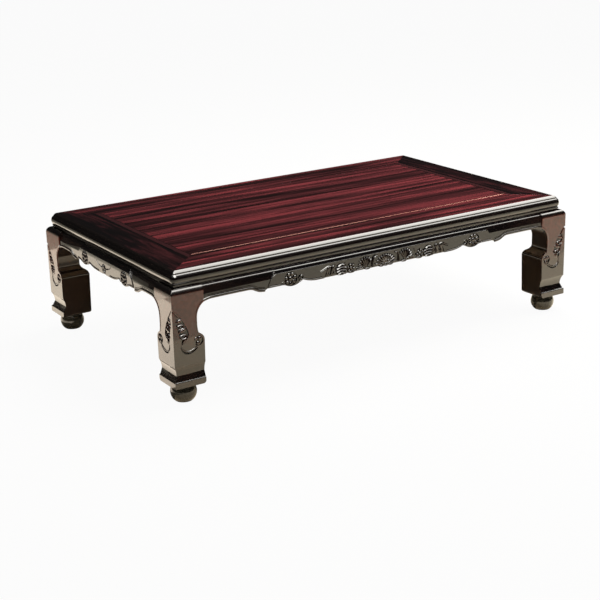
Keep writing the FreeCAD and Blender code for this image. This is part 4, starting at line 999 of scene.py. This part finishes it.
# Heater: a painted steel case under the rails with a wire guard, a bright reflector over two quartz
# tubes, ceramic holders, a fan on its motor, and the small controls and wiring.
worked_surface("case_paint", (0.03, 0.031, 0.032), (0.05, 0.051, 0.052), 420, (0.36, 0.5), 0, 0.12,
               worn=(0.16, 0.16, 0.16))
worked_surface("guard_paint", (0.012, 0.012, 0.012), (0.024, 0.024, 0.024), 600, (0.3, 0.45), 0, 0.1,
               worn=(0.1, 0.1, 0.1))
worked_surface("reflector_aluminium", (0.74, 0.75, 0.76), (0.88, 0.88, 0.88), 300, (0.14, 0.3), 1, 0.1,
               (0.04, 1, 1))
worked_surface("ceramic", (0.64, 0.6, 0.52), (0.78, 0.75, 0.68), 340, (0.42, 0.62), 0, 0.15,
               worn=(0.84, 0.82, 0.76))
worked_surface("motor_steel", (0.4, 0.4, 0.41), (0.56, 0.56, 0.57), 380, (0.26, 0.42), 1, 0.08,
               (1, 1, 0.1), worn=(0.75, 0.75, 0.75))
worked_surface("black_plastic", (0.014, 0.014, 0.015), (0.026, 0.026, 0.027), 900, (0.38, 0.52), 0, 0.15,
               worn=(0.06, 0.06, 0.06))
worked_surface("wire_sleeve", (0.52, 0.48, 0.38), (0.72, 0.69, 0.6), 1800, (0.7, 0.9), 0, 0.7)
worked_surface("quartz", (0.9, 0.89, 0.87), (0.97, 0.96, 0.95), 200, (0.1, 0.24), 0, 0.04)
set_numbers(MATERIALS["quartz"], Transmission_Weight=0.88, IOR=1.46)
for row in (
        ("heater_case", "case_shell", "case_paint", 0.4),
        ("heater_reflector", "bright_trough", "reflector_aluminium", 0.25),
        ("tube_holders", "clay_holders", "ceramic", 0.8),
        ("terminal_block", "clay_terminal", "ceramic", 0.9),
        ("thermal_fuse", "clay_fuse", "ceramic", 0.7),
        ("fan_motor", "motor_can", "motor_steel", 1.2),
        ("thermostat", "thermostat_can", "motor_steel", 0.9),
        ("power_inlet", "inlet_socket", "black_plastic", 0.6),
        ("heater_wiring", "sleeved_wires", "wire_sleeve", 0.2),
        ("fan", "fan_wheel", "black_plastic", 0.45, 2, None, "fan"),
        ("heater_guard", "guard_grid", "guard_paint", 0.3),
        ("heater_tubes", "quartz_tubes", "quartz", 0.3),
        ("heater_thumb_screws", "thumb_shanks", "black_plastic", 0.3)):
    fit_piece(*row)


# Heating wire: a thin resistance wire wound into a close coil, one in each quartz tube, held by the
# ceramic ends. Drawn as a spiral line and given a round section.
COIL_WIRE, COIL_PITCH, COIL_POINTS, COIL_SMOOTH_ANGLE = 0.35 * MM, 1.7 * MM, 9, radians(80)
worked_surface("element_wire", (0.2, 0.16, 0.14), (0.36, 0.3, 0.27), 120, (0.35, 0.55), 1)


def wound_wire(start, length, radius):
    count = int(length / COIL_PITCH * COIL_POINTS)
    turns = [tau * index / COIL_POINTS for index in range(count + 1)]
    spiral = [(start.x + length * index / count, start.y + radius * cos(turn),
               start.z + radius * sin(turn)) for index, turn in enumerate(turns)]
    return round_bar("POLY", spiral, [1] * len(spiral), COIL_WIRE, bevel_resolution=0)


low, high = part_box("heater_elements")
rod = (high.z - low.z) / 2
wires = join_pieces([wound_wire(Vector((low.x, y, low.z + rod)), high.x - low.x, rod - COIL_WIRE)
                     for y in (low.y + rod, high.y - rod)], "heating_wires")
bpy.ops.object.shade_smooth_by_angle(angle=COIL_SMOOTH_ANGLE)
finish_piece(wires, "frame", "element_wire", "heater_elements")


# Grips of the thumb screws that hold the heater: moulded black plastic, with a ribbed edge for the
# fingers and a dished end, pressed on the screws' heads.
GRIP_RIBS, GRIP_RADIUS, GRIP_GROOVE, GRIP_HEIGHT = 18, 6.4 * MM, 5.9 * MM, 7.2 * MM
GRIP_INSET, GRIP_DROP = 6 * MM, 0.2 * MM
GRIP_RIM, GRIP_SLOPE, GRIP_DISH = 0.9 * MM, 0.7 * MM, 0.6 * MM
low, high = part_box("heater_thumb_screws")
grips = []
for x in (low.x + GRIP_INSET, high.x - GRIP_INSET):
    for y in (low.y + GRIP_INSET, high.y - GRIP_INSET):
        deselect()
        bpy.ops.mesh.primitive_cylinder_add(vertices=4 * GRIP_RIBS, radius=1, depth=1, end_fill_type="NGON")
        grip = bpy.context.object
        for vertex in grip.data.vertices:
            turn = atan2(vertex.co.y, vertex.co.x)
            share = 0.5 + 0.5 * cos(GRIP_RIBS * turn)
            reach = GRIP_GROOVE + (GRIP_RADIUS - GRIP_GROOVE) * share
            level = low.z - GRIP_DROP + (GRIP_HEIGHT if vertex.co.z > 0 else 0)
            vertex.co = (x + reach * cos(turn), y + reach * sin(turn), level)
        select_faces(grip, lambda face: face.normal.z < -0.9)
        bpy.ops.mesh.inset(thickness=GRIP_RIM)
        bpy.ops.mesh.inset(thickness=GRIP_SLOPE, depth=-GRIP_DISH)
        object_mode()
        grips.append(grip)
grips = join_pieces(grips, "thumb_grips")
ease_edges(grips, 0.25)
finish_piece(grips, "frame", "black_plastic")


# Floor, lamps and camera: a white studio floor, a large softbox high on the right with three wings that
# show only as reflections, low light panels on the floor at the left and in front that show in the legs'
# faces, and a dark room above the horizon.
CAMERA_TARGET = Vector((-0.25016, -0.33753, 0.2))
CAMERA_AZIMUTH, CAMERA_ELEVATION, CAMERA_ROLL = (radians(a) for a in (-32.402, 18.106, -1.461))
CAMERA_DISTANCE, CAMERA_LENS = 4.12298, 80.187
FLOOR_SIZE, FLOOR_GLOW = 120, 0.95
PAPER, REFLECTED_PAPER_TINT = (0.86, 0.86, 0.85), (0.86, 0.8, 0.66)
DAYLIGHT, WARM, AMBER = (1, 0.97, 0.91), (1, 0.85, 0.69), (1, 0.78, 0.5)
CEILING, PANEL_LEVEL = 3, 0.004
ROOM_TONES = [(0, (0.012, 0.012, 0.012)), (0.5, (0.02, 0.02, 0.02)), (0.8, (0.25, 0.25, 0.24)),
              (1, (0.4, 0.4, 0.39))]

deselect()
bpy.ops.mesh.primitive_plane_add(size=FLOOR_SIZE)
floor = bpy.context.object
floor.name = "studio_floor"
floor_material, tree, place = new_material("studio_white")
set_numbers(floor_material, Roughness=0.9, Specular_IOR_Level=0)
surface = tree.nodes["Principled BSDF"]
ray = add_node(tree, "LightPath").outputs
# Painted reflection: the floor is warmer only in glossy rays, so its reflection in the lacquer is tinted
# warm.
tree.links.new(mix_colour(tree, ray["Is Glossy Ray"], PAPER, REFLECTED_PAPER_TINT), surface.inputs["Base Color"])
glow = add_node(tree, "Emission", {"Color": WHITE, "Strength": 1})
seen = maths(tree, "MULTIPLY", ray["Is Camera Ray"], FLOOR_GLOW)
through = maths(tree, "MULTIPLY_ADD", ray["Is Transmission Ray"], FLOOR_GLOW, seen)
white = add_node(tree, "MixShader", {
    0: through, 1: surface.outputs["BSDF"], 2: glow.outputs["Emission"]})
from_below = add_node(tree, "MixShader", {
    0: add_node(tree, "NewGeometry").outputs["Backfacing"], 1: white.outputs["Shader"],
    2: add_node(tree, "BsdfTransparent").outputs["BSDF"]})
tree.links.new(from_below.outputs["Shader"], tree.nodes["Material Output"].inputs["Surface"])
floor.data.materials.append(floor_material)


def lamp(name, spot, level, towards, width, height, radiance, colour):
    """A lamp of rectangular shape over or on a spot of the floor, turned up or down to a level."""
    data = bpy.data.lights.new(name, "AREA")
    data.color = colour
    data.shape = "RECTANGLE"
    data.size, data.size_y = width, height
    data.energy = radiance * width * height * pi
    item = add_object(name, data)
    item.location = (*spot, level)
    item.rotation_mode = "QUATERNION"
    item.rotation_quaternion = Vector((0, 0, towards - level)).to_track_quat("-Z", "Y")
    item.visible_camera = False
    return item


lamp("softbox", (1.65, 0.25), CEILING, 0, 2.4, 3.4, 6.2, DAYLIGHT)
for name, x, y, width, depth, radiance in (("front_wing", -0.6, -1.9, 2.4, 2.6, 11),
                                           ("right_wing", 3.45, 0.25, 1.2, 3.4, 6.2),
                                           ("left_wing", -0.7, 0.45, 2.3, 2.1, 6.2)):
    lamp(name, (x, y), CEILING, 0, width, depth, radiance, DAYLIGHT).visible_diffuse = False
for name, left, right, front, rear, radiance, colour in (
        ("left_near_panel", -1.18, -0.8, -0.31, 0.48, 1.9, WARM),
        ("left_far_panel", -1.2, -0.8, 0.48, 1.34, 1.45, WARM),
        ("left_near_strip", -0.8, -0.752, -0.31, 0.33, 1.9, WARM),
        ("left_far_strip", -0.8, -0.752, 0.47, 1.7, 1.45, WARM),
        ("front_panel", -0.8, 1.5, -0.95, -0.4, 0.47, AMBER)):
    lamp(name, ((left + right) / 2, (front + rear) / 2), PANEL_LEVEL, 1, right - left, rear - front,
         radiance, colour)

world = bpy.data.worlds.new("studio")
bpy.context.scene.world = world
world.use_nodes = True
tree = world.node_tree
direction = add_node(tree, "TexCoord").outputs["Generated"]
rise = add_node(tree, "SeparateXYZ", {"Vector": direction}).outputs["Z"]
room = colour_ramp(tree, value_range(tree, rise, 0, 1), ROOM_TONES)
camera_ray = add_node(tree, "LightPath").outputs["Is Camera Ray"]
tree.links.new(mix_colour(tree, camera_ray, room, WHITE), tree.nodes["Background"].inputs["Color"])

camera = add_object("camera", bpy.data.cameras.new("camera"))
camera.data.sensor_width = 36
camera.data.lens = CAMERA_LENS
camera.data.clip_end = 200
camera.matrix_world = (Matrix.Translation(CAMERA_TARGET) @ Matrix.Rotation(CAMERA_AZIMUTH, 4, "Z")
                       @ Matrix.Rotation(radians(90) - CAMERA_ELEVATION, 4, "X")
                       @ Matrix.Rotation(CAMERA_ROLL, 4, "Z") @ Matrix.Translation((0, 0, CAMERA_DISTANCE)))
bpy.context.scene.camera = camera
bpy.context.scene.view_settings.view_transform = "Standard"
